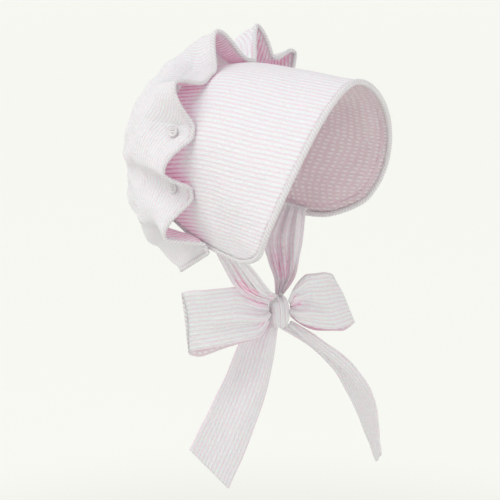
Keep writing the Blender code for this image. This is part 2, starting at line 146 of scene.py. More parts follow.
def ring_points(radius: float, height: float, sides: int) -> list[Row]:
    """Points round a level circle."""
    turns = [TURN * k / sides for k in range(sides)]
    return [(radius * math.cos(v), radius * math.sin(v), height) for v in turns]


def ring_faces(rings: int, sides: int, start: int = 0) -> list[tuple[int, ...]]:
    """Quads between closed rings of points.

    Args:
        rings: number of rings, stored one after another.
        sides: points in each ring.
        start: number of the first ring's first point.

    Returns:
        Corner numbers of each quad.
    """
    return [
        (a + k, a + (k + 1) % sides, a + sides + (k + 1) % sides, a + sides + k)
        for a in range(start, start + (rings - 1) * sides, sides)
        for k in range(sides)
    ]


def lengths_along(grid: Array, axis: int) -> Array:
    """Running length over a grid of points.

    Args:
        grid: points, rows by columns by three.
        axis: 0 to run down the rows, 1 to run along the columns.

    Returns:
        Lengths from the first point, rows by columns.
    """
    step = np.linalg.norm(np.diff(grid, axis=axis), axis=-1)
    start = np.zeros_like(step[:1] if axis == 0 else step[:, :1])
    return np.concatenate([start, np.cumsum(step, axis=axis)], axis=axis)


@dataclass
class Field:
    """A number or vector that varies over a surface: one socket of a finish."""

    finish: "Mixture"
    socket: bpy.types.NodeSocket

    def _math(self, operation: str, first: "Value", second: "Value" = 0.0) -> "Field":
        """One Math node over two values."""
        return self.finish.node("ShaderNodeMath", {"operation": operation}, {0: first, 1: second})

    def __add__(self, other: "Value") -> "Field":
        """self + other."""
        return self._math("ADD", self, other)

    def __radd__(self, other: "Value") -> "Field":
        """other + self."""
        return self._math("ADD", other, self)

    def __sub__(self, other: "Value") -> "Field":
        """self - other."""
        return self._math("SUBTRACT", self, other)

    def __rsub__(self, other: "Value") -> "Field":
        """other - self."""
        return self._math("SUBTRACT", other, self)

    def __mul__(self, other: "Value") -> "Field":
        """self * other."""
        return self._math("MULTIPLY", self, other)

    def __rmul__(self, other: "Value") -> "Field":
        """other * self."""
        return self._math("MULTIPLY", other, self)

    def __truediv__(self, other: "Value") -> "Field":
        """self / other."""
        return self._math("DIVIDE", self, other)

    def __abs__(self) -> "Field":
        """Size without sign."""
        return self._math("ABSOLUTE", self)

    def floor(self) -> "Field":
        """Whole number below."""
        return self._math("FLOOR", self)

    def cosine(self) -> "Field":
        """Cosine of whole turns."""
        return self._math("COSINE", self * TURN)

    def step(self, low: float, high: float, bottom: float = 0.0, top: float = 1.0) -> "Field":
        """Smooth step.

        Args:
            low: where the step starts.
            high: where it ends.
            bottom: value before it.
            top: value after it.

        Returns:
            The stepped field.
        """
        settings = {"interpolation_type": "SMOOTHSTEP"}
        return self.finish.node("ShaderNodeMapRange", settings, {0: self, 1: low, 2: high, 3: bottom, 4: top})


Value = Field | float | tuple[float, ...]


class Mixture:
    """A procedural finish while it is being put together."""

    def __init__(self, name: str) -> None:
        """Start an empty finish.

        Args:
            name: name of the material.
        """
        self.material = bpy.data.materials.new(name)
        self.material.use_nodes = True
        self.tree = self.material.node_tree
        self.shader = self.tree.nodes["Principled BSDF"]

    def node(
        self, kind: str, settings: dict[str, object], values: dict[int | str, Value], out: int = 0
    ) -> Field:
        """Add one node.

        Args:
            kind: type of the node.
            settings: properties, set before its sockets.
            values: numbers or fields of its sockets.
            out: number of the output that is wanted.

        Returns:
            The output as a field.
        """
        made = self.tree.nodes.new(kind)
        for key, value in settings.items():
            setattr(made, key, value)
        for key, value in values.items():
            if isinstance(value, Field):
                self.tree.links.new(value.socket, made.inputs[key])
            else:
                made.inputs[key].default_value = value
        return Field(self, made.outputs[out])

    def parts(self, attribute: str) -> tuple[Field, Field, Field]:
        """Three numbers kept on the mesh under one name."""
        read = self.node("ShaderNodeAttribute", {"attribute_name": attribute}, {}, 1)
        return tuple(self.node("ShaderNodeSeparateXYZ", {}, {0: read}, i) for i in range(3))

    def chance(self, *numbers: Value) -> Field:
        """A number from 0 to 1 for each whole cell."""
        joined = self.node("ShaderNodeCombineXYZ", {}, dict(enumerate(numbers)))
        return self.node("ShaderNodeTexWhiteNoise", {"noise_dimensions": "3D"}, {"Vector": joined})

    def cloud(self, x: Value, y: Value, scale: float, detail: float = 2.0) -> Field:
        """Soft noise over two coordinates."""
        joined = self.node("ShaderNodeCombineXYZ", {}, {0: x, 1: y})
        return self.node("ShaderNodeTexNoise", {}, {"Vector": joined, "Scale": scale, "Detail": detail})

    def blend(self, share: Value, first: Value, second: Value) -> Field:
        """Mix of two colours."""
        return self.node("ShaderNodeMix", {"data_type": "RGBA"}, {0: share, 6: first, 7: second}, 2)

    def close(self, colour: Value, height: Field | None, sockets: dict[str, Value]) -> bpy.types.Material:
        """Feed the shader.

        Args:
            colour: base colour.
            height: relief in metres, or none.
            sockets: constants and fields of other sockets.

        Returns:
            The finished material.
        """
        for key, value in {"Base Color": colour, **sockets}.items():
            if isinstance(value, Field):
                self.tree.links.new(value.socket, self.shader.inputs[key])
            else:
                self.shader.inputs[key].default_value = value
        if height is not None:
            relief = self.node("ShaderNodeBump", {}, {"Strength": 1.0, "Distance": 1.0, "Height": height})
            self.tree.links.new(relief.socket, self.shader.inputs["Normal"])
        return self.material


@dataclass(frozen=True)
class Seersucker:
    """Puckered cotton with narrow white and pink stripes, with painted shade, painted highlights and a
    painted glow in its colours.
    """

    name: str = "striped seersucker"
    pitch: float = 0.0034
    pucker: float = 0.0057
    relief: float = 0.00034
    white: Row = (0.86, 0.875, 0.885, 1.0)
    pink: Row = (0.86, 0.755, 0.815, 1.0)
    # From here on the colours stand in for light and shade: the hollow grey-pink, the inner-face pink, the
    # deep pink and the blush are painted shade (the deep pink also colours the inner stitching); the two
    # glows are painted light; the inner face's mauve is painted shade and its dots a painted highlight.
    hollow_shade: Row = (0.79, 0.74, 0.775, 1.0)
    inside_shade_pink: Row = (0.72, 0.46, 0.56, 1.0)
    deep: Row = (0.80, 0.44, 0.57, 1.0)
    painted_shade_blush: Row = (0.90, 0.77, 0.84, 1.0)
    glow: Row = (0.095, 0.047, 0.068, 1.0)
    pale_painted_glow: Row = (0.138, 0.106, 0.123, 1.0)
    inside_shade_mauve: Row = (0.79, 0.675, 0.715, 1.0)
    puff_highlight_dots: Row = (0.93, 0.89, 0.905, 1.0)
    hollow_shade_share: float = 0.24
    seam: float = 0.0009
    stitch: float = 0.0060
    stitch_length: float = 0.0026

    def make(self) -> bpy.types.Material:
        """Mix the cloth's finish.

        Returns:
            The material.
        """
        mix = Mixture(self.name)
        across, along, inside = mix.parts("weave")
        edge, run, cover = mix.parts("seam")
        drift = mix.cloud(across, along, 90.0)
        wobble = mix.cloud(across * 1.4, along, 380.0)
        lane = across / self.pitch + (drift - 0.5) * 0.18 + (wobble - 0.5) * 0.34
        band = lane.floor()
        tone = (0.5 - 0.5 * lane.cosine()).step(0.08, 0.52)
        cell = along / self.pucker + mix.chance(band, 3.0) * 0.22 + drift * 0.8
        size = mix.chance(band, cell.floor(), 7.0)
        even = (0.5 + 0.5 * cell.cosine()).step(0.10, 0.80) * (0.68 + 0.32 * size)
        loose = mix.cloud(across * 0.7, along, 330.0).step(0.34, 0.62)
        puff = loose + inside * (even - loose)
        slub = mix.cloud(across * 9.0, along, 320.0, 3.0)
        fold = mix.cloud(across, along, 46.0, 3.0)
        height = (tone * (0.35 + puff) + (1.0 - tone) * 0.22 * puff) * self.relief
        height = height + slub * 0.00006 + fold * (0.0011 + 0.0016 * inside)
        ditch = 1.0 - edge.step(self.seam * 0.4, self.seam * 2.2)
        line = 1.0 - abs(edge - self.stitch).step(0.0001, 0.0009)
        ridge = edge.step(0.0006, 0.0018) * (1.0 - edge.step(self.stitch - 0.0016, self.stitch - 0.0002))
        dash = (0.5 + 0.5 * (run / self.stitch_length).cosine()).step(0.10, 0.40)
        height = height - ditch * 0.0003 + inside * (ridge * 0.0004 - line * 0.0003 + line * dash * 0.0002)
        # Painted shade: where neighbouring cloth encloses a place, and on the inner face, the pink stripes
        # turn deep pink and the white puffs turn a blush.
        shade = (cover * (1.0 - 0.2 * inside)).step(0.30, 0.95)
        painted_shade_pink_share = (cover * (1.0 + 0.35 * inside) + inside * 0.42).step(0.30, 0.95)
        ground = mix.blend(painted_shade_pink_share, self.pink, self.deep)
        raised = mix.blend(shade, self.white, self.painted_shade_blush)
        shaded_hollow_colour = mix.blend(painted_shade_pink_share, self.hollow_shade, self.inside_shade_pink)
        cloth = mix.blend(tone, ground, raised)
        # Painted shade in the hollows between the puffs, stronger on the inner face; the deeper inner-face
        # pink there is painted shade too.
        low = (1.0 - puff) * (0.35 + 0.65 * tone) * (self.hollow_shade_share * (1.0 + 3.0 * inside))
        cloth = mix.blend(low, cloth, shaded_hollow_colour)
        # Inner face: the white stripe's puffs are drawn as bright dots, a painted highlight, on a mauve
        # ground of painted shade; the dots follow the real stripe and puckers.
        dot = (0.5 - 0.5 * lane.cosine()).step(0.30, 0.85) * even
        cloth = mix.blend(inside.step(0.3, 0.9), cloth, mix.blend(dot, self.inside_shade_mauve, self.puff_highlight_dots))
        # Painted shade along the seam's groove beside the piping, as a deep pink line.
        cloth = mix.blend(ditch * (0.28 - 0.20 * tone), cloth, self.deep)
        cloth = mix.blend(inside * line * (0.45 - 0.3 * dash), cloth, self.deep)
        cloth = mix.blend(slub.step(0.35, 0.75) * 0.10, cloth, shaded_hollow_colour)
        # Painted light: enclosed places on the outer face glow pink, standing in for light coming through the
        # thin cloth.
        painted_glow_share = cover.step(0.15, 0.80) * (1.0 - 0.75 * inside)
        glow_colour = mix.blend(tone, self.glow, self.pale_painted_glow)
        sockets: dict[str, Value] = {
            "Emission Color": mix.blend(painted_glow_share, (0.0, 0.0, 0.0, 1.0), glow_colour),
            "Emission Strength": 1.0,
            "Roughness": 0.88,
            "Specular IOR Level": 0.25,
            "Sheen Weight": 0.12,
            "Sheen Roughness": 0.5,
            "Subsurface Weight": 0.35,
            "Subsurface Radius": (0.0034, 0.0021, 0.0026),
            "Subsurface Scale": 1.0,
        }
        return mix.close(cloth, height, sockets)


@dataclass(frozen=True)
class BiasPiping:
    """Cord covered in bias-cut striped cotton."""

    name: str = "bias piping"
    pitch: float = 0.0025
    turns: int = 3
    relief: float = 0.00030
    white: Row = (0.88, 0.885, 0.89, 1.0)
    pink: Row = (0.81, 0.70, 0.75, 1.0)
    hollow_shade: Row = (0.76, 0.72, 0.745, 1.0)

    def make(self) -> bpy.types.Material:
        """Mix the piping's finish.

        Returns:
            The material.
        """
        mix = Mixture(self.name)
        cosine, sine, along = mix.parts("weave")
        angle = mix.node("ShaderNodeMath", {"operation": "ARCTAN2"}, {0: sine, 1: cosine}) / TURN
        drift = mix.cloud(along, cosine * 0.002, 150.0)
        lane = along / self.pitch + angle * float(self.turns) + (drift - 0.5) * 0.5
        tone = (0.5 - 0.5 * lane.cosine()).step(0.0, 0.36)
        weft = along / (self.pitch * 0.74) - angle * 5.0
        puff = (0.5 + 0.5 * weft.cosine()).step(0.1, 0.9)
        height = tone * (0.3 + puff) * self.relief + drift * 0.0002
        cloth = mix.blend(tone, self.pink, self.white)
        # Painted shade in the hollows between the weave's puffs.
        cloth = mix.blend((1.0 - puff) * 0.15, cloth, self.hollow_shade)
        sockets: dict[str, Value] = {
            "Roughness": 0.85,
            "Specular IOR Level": 0.25,
            "Sheen Weight": 0.1,
            "Subsurface Weight": 0.1,
            "Subsurface Radius": (0.002, 0.0013, 0.0015),
            "Subsurface Scale": 1.0,
        }
        return mix.close(cloth, height, sockets)


@dataclass(frozen=True)
class PalePlastic:
    """Pale, slightly see-through button plastic with a faint swirl."""

    name: str = "button plastic"
    light: Row = (0.80, 0.79, 0.79, 1.0)
    dark: Row = (0.64, 0.62, 0.63, 1.0)

    def make(self) -> bpy.types.Material:
        """Mix the plastic.

        Returns:
            The material.
        """
        mix = Mixture(self.name)
        place = mix.node("ShaderNodeTexCoord", {}, {}, 3)
        swirl = mix.node("ShaderNodeTexNoise", {}, {"Vector": place, "Scale": 420.0, "Detail": 3.0})
        colour = mix.blend(swirl.step(0.35, 0.7), self.light, self.dark)
        return mix.close(colour, swirl * 0.00002, {"Roughness": swirl * 0.15 + 0.22, "Coat Weight": 0.25})


@dataclass(frozen=True)
class Thread:
    """Twisted sewing thread."""

    name: str = "sewing thread"
    light: Row = (0.87, 0.80, 0.83, 1.0)
    dark: Row = (0.66, 0.50, 0.57, 1.0)
    twist: float = 0.0006

    def make(self) -> bpy.types.Material:
        """Mix the thread.

        Returns:
            The material.
        """
        mix = Mixture(self.name)
        cosine, sine, along = mix.parts("weave")
        angle = mix.node("ShaderNodeMath", {"operation": "ARCTAN2"}, {0: sine, 1: cosine}) / TURN
        ply = 0.5 + 0.5 * (along / self.twist + angle).cosine()
        return mix.close(mix.blend(ply, self.dark, self.light), ply * 0.00005, {"Roughness": 0.7})


@dataclass
class Sheet:
    """Cloth of even thickness laid on a skin of points."""

    name: str
    points: Array
    faces: list[tuple[int, ...]]
    weave: Array
    seam: Array
    cloth: float
    side: float = 0.0
    roll: float = 0.45
    # Inner-face value on the outer and on the inner face; besides relief, the finish paints shade from it.
    inner_face_and_shade: Row = (0.0, 1.0)

    def normals(self) -> Array:
        """Vertex normals of the skin."""
        normals = np.zeros_like(self.points)
        for count in (3, 4):
            chosen = [f for f in self.faces if len(f) == count]
            if chosen:
                f = np.array(chosen)
                p = self.points[f]
                face = np.cross(p[:, 2] - p[:, 0], p[:, -1] - p[:, 1])
                for corner in range(count):
                    np.add.at(normals, f[:, corner], face)
        return unit(normals)

    def area(self) -> float:
        """Area of one side of the cloth."""
        total = 0.0
        for f in self.faces:
            p = self.points[list(f)]
            total += float(np.linalg.norm(np.cross(p[2] - p[0], p[-1] - p[1]))) / 2
        return total

    def build(self, material: bpy.types.Material) -> bpy.types.Object:
        """Thicken the skin and round its rim.

        Args:
            material: the cloth's finish.

        Returns:
            The object.
        """
        count = len(self.points)
        normals = self.normals()
        outer = self.points + normals * self.cloth * (self.side + 1) / 2
        inner = outer - normals * self.cloth
        edges: dict[tuple[int, int], int] = {}
        for f in self.faces:
            for a, b in zip(f, f[1:] + f[:1]):
                edges[(a, b)] = edges.get((a, b), 0) + 1
        rim = [(a, b) for a, b in edges if (b, a) not in edges]
        out = np.zeros_like(self.points)
        for a, b in rim:
            side = np.cross(self.points[b] - self.points[a], normals[a])
            out[a] += side
            out[b] += side
        order = {a: 2 * count + i for i, (a, _) in enumerate(rim)}
        starts = [a for a, _ in rim]
        middle = (outer[starts] + inner[starts]) / 2 + unit(out[starts]) * self.cloth * self.roll
        faces = list(self.faces) + [tuple(i + count for i in reversed(f)) for f in self.faces]
        for a, b in rim:
            faces.append((b, a, order[a], order[b]))
            faces.append((order[b], order[a], a + count, b + count))
        weave = np.concatenate([self.weave, self.weave, self.weave[starts]])
        weave[:count, 2], weave[count : 2 * count, 2] = self.inner_face_and_shade
        weave[2 * count :, 2] = sum(self.inner_face_and_shade) / 2
        seam = np.concatenate([self.seam, self.seam, self.seam[starts]])
        return piece(self.name, np.concatenate([outer, inner, middle]), faces, material, weave, seam)


def piece(
    name: str,
    points: Array,
    faces: Sequence[tuple[int, ...]],
    material: bpy.types.Material,
    weave: Array,
    seam: Array | None = None,
) -> bpy.types.Object:
    """Make a smooth mesh with cloth coordinates.

    Args:
        name: name of the piece.
        points: places in the shared frame.
        faces: corner numbers.
        material: its finish.
        weave: across the stripes, along them, and the inner-face value (1 on the brim's inner face), which
            sets relief and painted shade.
        seam: distance from the sewn edge, length along it, and shade of cover.

    Returns:
        The object.
    """
    mesh = bpy.data.meshes.new(name)
    mesh.from_pydata([tuple(map(float, p)) for p in points], [], list(faces))
    for key, values in (("weave", weave), ("seam", seam)):
        if values is not None:
            layer = mesh.attributes.new(key, "FLOAT_VECTOR", "POINT")
            layer.data.foreach_set("vector", np.ascontiguousarray(values, np.float32).ravel())
    mesh.polygons.foreach_set("use_smooth", [True] * len(mesh.polygons))
    mesh.materials.append(material)
    mesh.update()
    made = bpy.data.objects.new(name, mesh)
    bpy.context.scene.collection.objects.link(made)
    return made


def fit(obj: bpy.types.Object, node: str | None) -> bpy.types.Object:
    """Put a piece on the bonnet.

    Args:
        obj: the piece.
        node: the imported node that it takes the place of, if any.

    Returns:
        The piece.
    """
    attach(obj, "root")
    if node is not None:
        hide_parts(node)
    log.info("%s: %d faces", obj.name, len(obj.data.polygons))
    return obj


class Shade:
    """How enclosed each place of the cloth is, measured over all the sheets together; the cloth's finish
    paints shade and glow from it.
    """

    def __init__(self) -> None:
        """Start with no sheets."""
        self.sheets: list[tuple[bpy.types.Object, int, int, int]] = []

    def add(self, obj: bpy.types.Object, rows: int, columns: int, count: int) -> None:
        """Note a sheet made on a grid.

        Args:
            obj: the piece.
            rows: rows of its grid.
            columns: columns of its grid.
            count: number of points on one of its faces.
        """
        self.sheets.append((obj, rows, columns, count))

    @staticmethod
    def _rays(count: int) -> Array:
        """Even directions over a dome, with the cosine's weighting."""
        k = np.arange(count) + 0.5
        radius, angle = np.sqrt(k / count), k * math.pi * (3 - math.sqrt(5))
        return np.stack([radius * np.cos(angle), radius * np.sin(angle), np.sqrt(1 - radius**2)], -1)

    def measure(self, reach: float = 0.075, rays: int = 40, stride: int = 6) -> None:
        """Write the shade into each sheet's seam layer.

        Args:
            reach: how far a neighbour still counts, in metres.
            rays: directions tried at each place.
            stride: grid steps between the places that are measured.
        """
        corners: list[Vector] = []
        faces: list[tuple[int, ...]] = []
        for obj, *_ in self.sheets:
            start = len(corners)
            corners += [v.co.copy() for v in obj.data.vertices]
            faces += [tuple(i + start for i in f.vertices) for f in obj.data.polygons]
        tree = BVHTree.FromPolygons(corners, faces)
        dome = self._rays(rays)
        for obj, rows, columns, count in self.sheets:
            layer = obj.data.attributes["seam"]
            values = np.zeros(len(obj.data.vertices) * 3, np.float32)
            layer.data.foreach_get("vector", values)
            values = values.reshape(-1, 3)
            picked_rows = np.unique(np.append(np.arange(0, rows, stride), rows - 1))
            picked_columns = np.unique(np.append(np.arange(0, columns, stride), columns - 1))
            for start in (0, count):
                small = np.zeros((len(picked_rows), len(picked_columns)))
                for i, row in enumerate(picked_rows):
                    for j, column in enumerate(picked_columns):
                        vertex = obj.data.vertices[start + int(row * columns + column)]
                        small[i, j] = self._closed(tree, vertex, dome, reach)
                wide = np.stack([np.interp(np.arange(columns), picked_columns, line) for line in small])
                full = np.stack([np.interp(np.arange(rows), picked_rows, line) for line in wide.T], 1)
                values[start : start + rows * columns, 2] = full.ravel()
            layer.data.foreach_set("vector", np.ascontiguousarray(values).ravel())

    @staticmethod
    def _closed(tree: BVHTree, vertex: bpy.types.MeshVertex, dome: Array, reach: float) -> float:
        """Share of the directions that a neighbour closes off."""
        turn = vertex.normal.to_track_quat("Z", "Y").to_matrix()
        start = vertex.co + vertex.normal * 0.0012
        hidden = 0.0
        for ray in dome:
            hit = tree.ray_cast(start, turn @ Vector(ray), reach)
            if hit[0] is not None:
                hidden += 1.0 - 0.5 * hit[3] / reach
        return hidden / len(dome)


@dataclass
class Tube:
    """Round cord along a path, with rounded ends."""

    name: str
    path: Array
    radius: float
    sides: int = 14
    lumps: float = 0.0

    def build(self, material: bpy.types.Material) -> bpy.types.Object:
        """Sweep the cord.

        Args:
            material: its finish.

        Returns:
            The object.
        """
        run = unit(np.gradient(self.path, axis=0))
        length = lengths_along(self.path[:, None], 0)[:, 0]
        ends = [(-1.0, 0.05), (-0.7, 0.71), (-0.35, 0.94)]
        first, last = run[0] * self.radius, run[-1] * self.radius
        rings = [(self.path[0] + first * a, run[0], b, length[0]) for a, b in ends]
        rings += list(zip(self.path, run, np.ones(len(run)), length))
        rings += [(self.path[-1] - last * a, run[-1], b, length[-1]) for a, b in reversed(ends)]
        side = np.cross(run[0], (0.31, 0.57, 0.76))
        points, weave = [], []
        for centre, ahead, share, at in rings:
            side = unit(side - ahead * np.dot(side, ahead))
            other = np.cross(ahead, side)
            lump = 1 + self.lumps * math.sin(at * 1900) * math.sin(at * 730 + 1.0)
            for k in range(self.sides):
                angle = TURN * k / self.sides
                spoke = side * math.cos(angle) + other * math.sin(angle)
                points.append(centre + spoke * self.radius * share * lump)
                weave.append((math.cos(angle), math.sin(angle), at))
        n = self.sides
        faces = ring_faces(len(rings), n)
        faces.append(tuple(reversed(range(n))))
        faces.append(tuple(range((len(rings) - 1) * n, len(rings) * n)))
        return piece(self.name, np.array(points), faces, material, np.array(weave))


@dataclass
class Brim:
    """Deep doubled brim with rounded front corners and a piped edge."""

    depth: float = 0.125
    height: float = 0.127
    half_width: float = 0.078
    cloth: float = 0.0024
    piping_radius: float = 0.0020
    flat_depth: float = 0.124
    arch_share: float = 0.60
    rake: float = 2.0
    corner_start: float = 0.78
    corner_depth: float = 0.24
    far_set: float = 0.072
    far_tuck: float = 0.07
    far_raise: float = 0.004
    seat_forward: float = -0.025
    seat_share: float = 0.514
    soft_relief: float = 0.0005
    rows: int = 300
    columns: int = 72
    share: Row = (0.0, 0.33, 0.70, 1.0)
    top_forward: Row = (0.416, 0.096, -0.288, -0.584)
    bottom_forward: Row = (0.144, -0.112, -0.360, -0.568)
    top: Row = (0.520, 0.520, 0.512, 0.457)
    widest: Row = (-0.220, -0.094, 0.0, 0.016)
    bottom: Row = (-0.462, -0.478, -0.447, -0.362)
    width: Row = (1.0, 0.885, 0.795, 0.756)
    tuck: Row = (0.872, 0.718, 0.654, 0.615)
    roundness: Row = (1.72, 1.82, 2.10, 2.10)

    def world(self, point: Array) -> Array:
        """Shared frame from design coordinates."""
        point = np.asarray(point, float)
        seat_up = self.height * self.seat_share - self.cloth
        return np.stack([-point[..., 1], self.seat_forward - point[..., 0], point[..., 2] - seat_up], -1)

    def half(self, around: Number, along: Number) -> Array:
        """Outside of one side.

        Args:
            around: way round, 0 on the top and 1 at the lower corner.
            along: 0 at the face edge and 1 at the back edge.

        Returns:
            Design coordinates.
        """
        around = np.asarray(around, float)
        along = np.asarray(along, float)
        top_forward = self.depth * Curve(self.share, self.top_forward)(along)
        bottom_forward = self.depth * Curve(self.share, self.bottom_forward)(along)
        top = self.height * Curve(self.share, self.top)(along)
        widest = self.height * Curve(self.share, self.widest)(along)
        bottom = self.height * Curve(self.share, self.bottom)(along)
        width = self.half_width * Curve(self.share, self.width)(along)
        tuck = self.half_width * Curve(self.share, self.tuck)(along)
        power = 2.0 / Curve(self.share, self.roundness)(along)
        angle = np.clip(around / self.arch_share, 0, 1) * math.pi / 2
        fall = np.clip((around - self.arch_share) / (1 - self.arch_share), 0, 1.2)
        arch = around < self.arch_share
        side = np.where(arch, width * np.sin(angle) ** power, width - (width - tuck) * fall**2)
        cosine = np.maximum(np.cos(angle), 1e-9) ** power
        up = np.where(arch, widest + (top - widest) * cosine, widest - (widest - bottom) * fall)
        drop = (top - up) / (top - bottom)
        forward = top_forward - (top_forward - bottom_forward) * drop**self.rake
        return np.stack([forward, side, up], -1)

    def point(self, around: Number, along: Number) -> Array:
        """Outside of the brim; a negative way round is the wearer's left."""
        around, along = np.broadcast_arrays(np.asarray(around, float), np.asarray(along, float))
        point = self.half(np.abs(around), along)
        low = np.clip(np.abs(around) - 0.5, 0, 0.5) * 2
        far = around < 0
        draw = np.where(far, 1 - (self.far_set + self.far_tuck * low) * (1 - along), 1.0)
        point[..., 1] *= np.where(far, -draw, 1.0)
        point[..., 2] += np.where(far, self.far_raise * low * (1 - along), 0.0)
        return point

    def inward(self, around: Number, along: Number) -> Array:
        """Unit vectors from the outside towards the head."""
        e = 1e-3
        low = np.clip(np.asarray(along, float) - e, 0, 1 - 2 * e)
        d_around = self.point(around + e, along) - self.point(around - e, along)
        d_along = self.point(around, low + 2 * e) - self.point(around, low)
        return -unit(np.cross(d_around, d_along))

    def edge_stations(self) -> Array:
        """Places (way round, along) on the piped edge, from one back corner to the other."""
        lower = [(1.0, t) for t in np.linspace(0.995, 0.30, 90)]
        turn = np.radians(np.linspace(88, 4, 40))
        corner = [
            (self.corner_start + (1 - self.corner_start) * math.sin(v), self.corner_depth * (1 - math.cos(v)))
            for v in turn
        ]
        front = [(s, 0.0) for s in np.linspace(self.corner_start, 0.0, 150)]
        near = lower + corner + front
        return np.array(near + [(-s, t) for s, t in reversed(near[:-1])])

    def skin(self) -> tuple[Array, Array, Array]:
        """Outer face of the cloth.

        Returns:
            Points in design coordinates, cloth coordinates and seam coordinates, as grids.
        """
        inset = self.piping_radius - 0.0003
        low_end = 1.0 - 1.15 * inset / (self.height * 0.62)
        arch = np.linspace(0, self.corner_start, self.rows // 2 - 30, endpoint=False)
        turn = np.radians(np.linspace(0, 82, 30))
        half = np.concatenate([arch, self.corner_start + (1 - self.corner_start) * np.sin(turn), [1.0]])
        ways = np.concatenate([-half[:0:-1], half]) * low_end
        v = np.clip((np.abs(ways) / low_end - self.corner_start) / (1 - self.corner_start), 0, 1)
        start = self.corner_depth * (1 - np.sqrt(1 - v**2))
        rate = np.linalg.norm(self.point(ways, start + 0.01) - self.point(ways, start), axis=-1) / 0.01
        first = start + inset * (1 + 0.8 * v) / rate
        share = first[:, None] + (1 - first[:, None]) * np.linspace(0, 1, self.columns)
        s, t = np.broadcast_arrays(ways[:, None], share)
        points = self.point(s, t)
        levels = np.linspace(0, 1, 41)
        girth = lengths_along(self.point(ways[:, None], levels[None, :]), 0)
        girth -= girth[len(ways) // 2]
        across = np.stack([np.interp(share[i], levels, girth[i]) for i in range(len(ways))])
        depth = lengths_along(points, 1)
        long = depth + (start * 0.10 + first * 0.115)[:, None]
        stations = self.edge_stations()
        border = self.point(stations[:, 0], stations[:, 1])
        near = np.stack([np.linalg.norm(border - p, axis=-1).min() for p in points.reshape(-1, 3)])
        edge = np.maximum(near.reshape(s.shape) - self.piping_radius + 0.0004, 0.0)
        run = lengths_along(points, 0)
        weave = np.stack([across, long, np.zeros_like(s)], -1)
        return points, weave, np.stack([edge, run, np.zeros_like(s)], -1)

    def build(self, cloth: bpy.types.Material, piping: bpy.types.Material, shade: Shade) -> None:
        """Make and dress the brim and its piping.

        Args:
            cloth: seersucker.
            piping: bias piping.
            shade: notes the sheets.
        """
        points, weave, seam = self.skin()
        calm = np.clip(seam[..., 0] / 0.012, 0, 1) * np.clip((0.60 - weave[..., 1] / self.depth) / 0.2, 0, 1)
        outward = -unit(np.cross(np.gradient(points, axis=0), np.gradient(points, axis=1)))
        outward *= np.sign(np.sum(outward * points, axis=-1, keepdims=True).mean())
        relief = ripple(weave[..., 0], weave[..., 1], 11, 0.034) * self.soft_relief * calm
        points = points + outward * relief[..., None]
        rows, columns = points.shape[:2]
        made = Sheet(
            "brim_cloth",
            self.world(points).reshape(-1, 3),
            grid_faces(rows, columns),
            weave.reshape(-1, 3),
            seam.reshape(-1, 3),
            self.cloth,
            -1.0,
        )
        obj = fit(made.build(cloth), "brim")
        shade.add(obj, rows, columns, rows * columns)
        stations = self.edge_stations()
        inward = self.inward(np.clip(stations[:, 0], -0.995, 0.995), stations[:, 1])
        path = self.world(self.point(stations[:, 0], stations[:, 1]) + inward * self.cloth / 2)
        cord = Tube("brim_cord", path, self.piping_radius, 16, 0.035)
        fit(cord.build(piping), "brim_piping")
        flat = (self.flat_depth, made.area() / self.flat_depth)


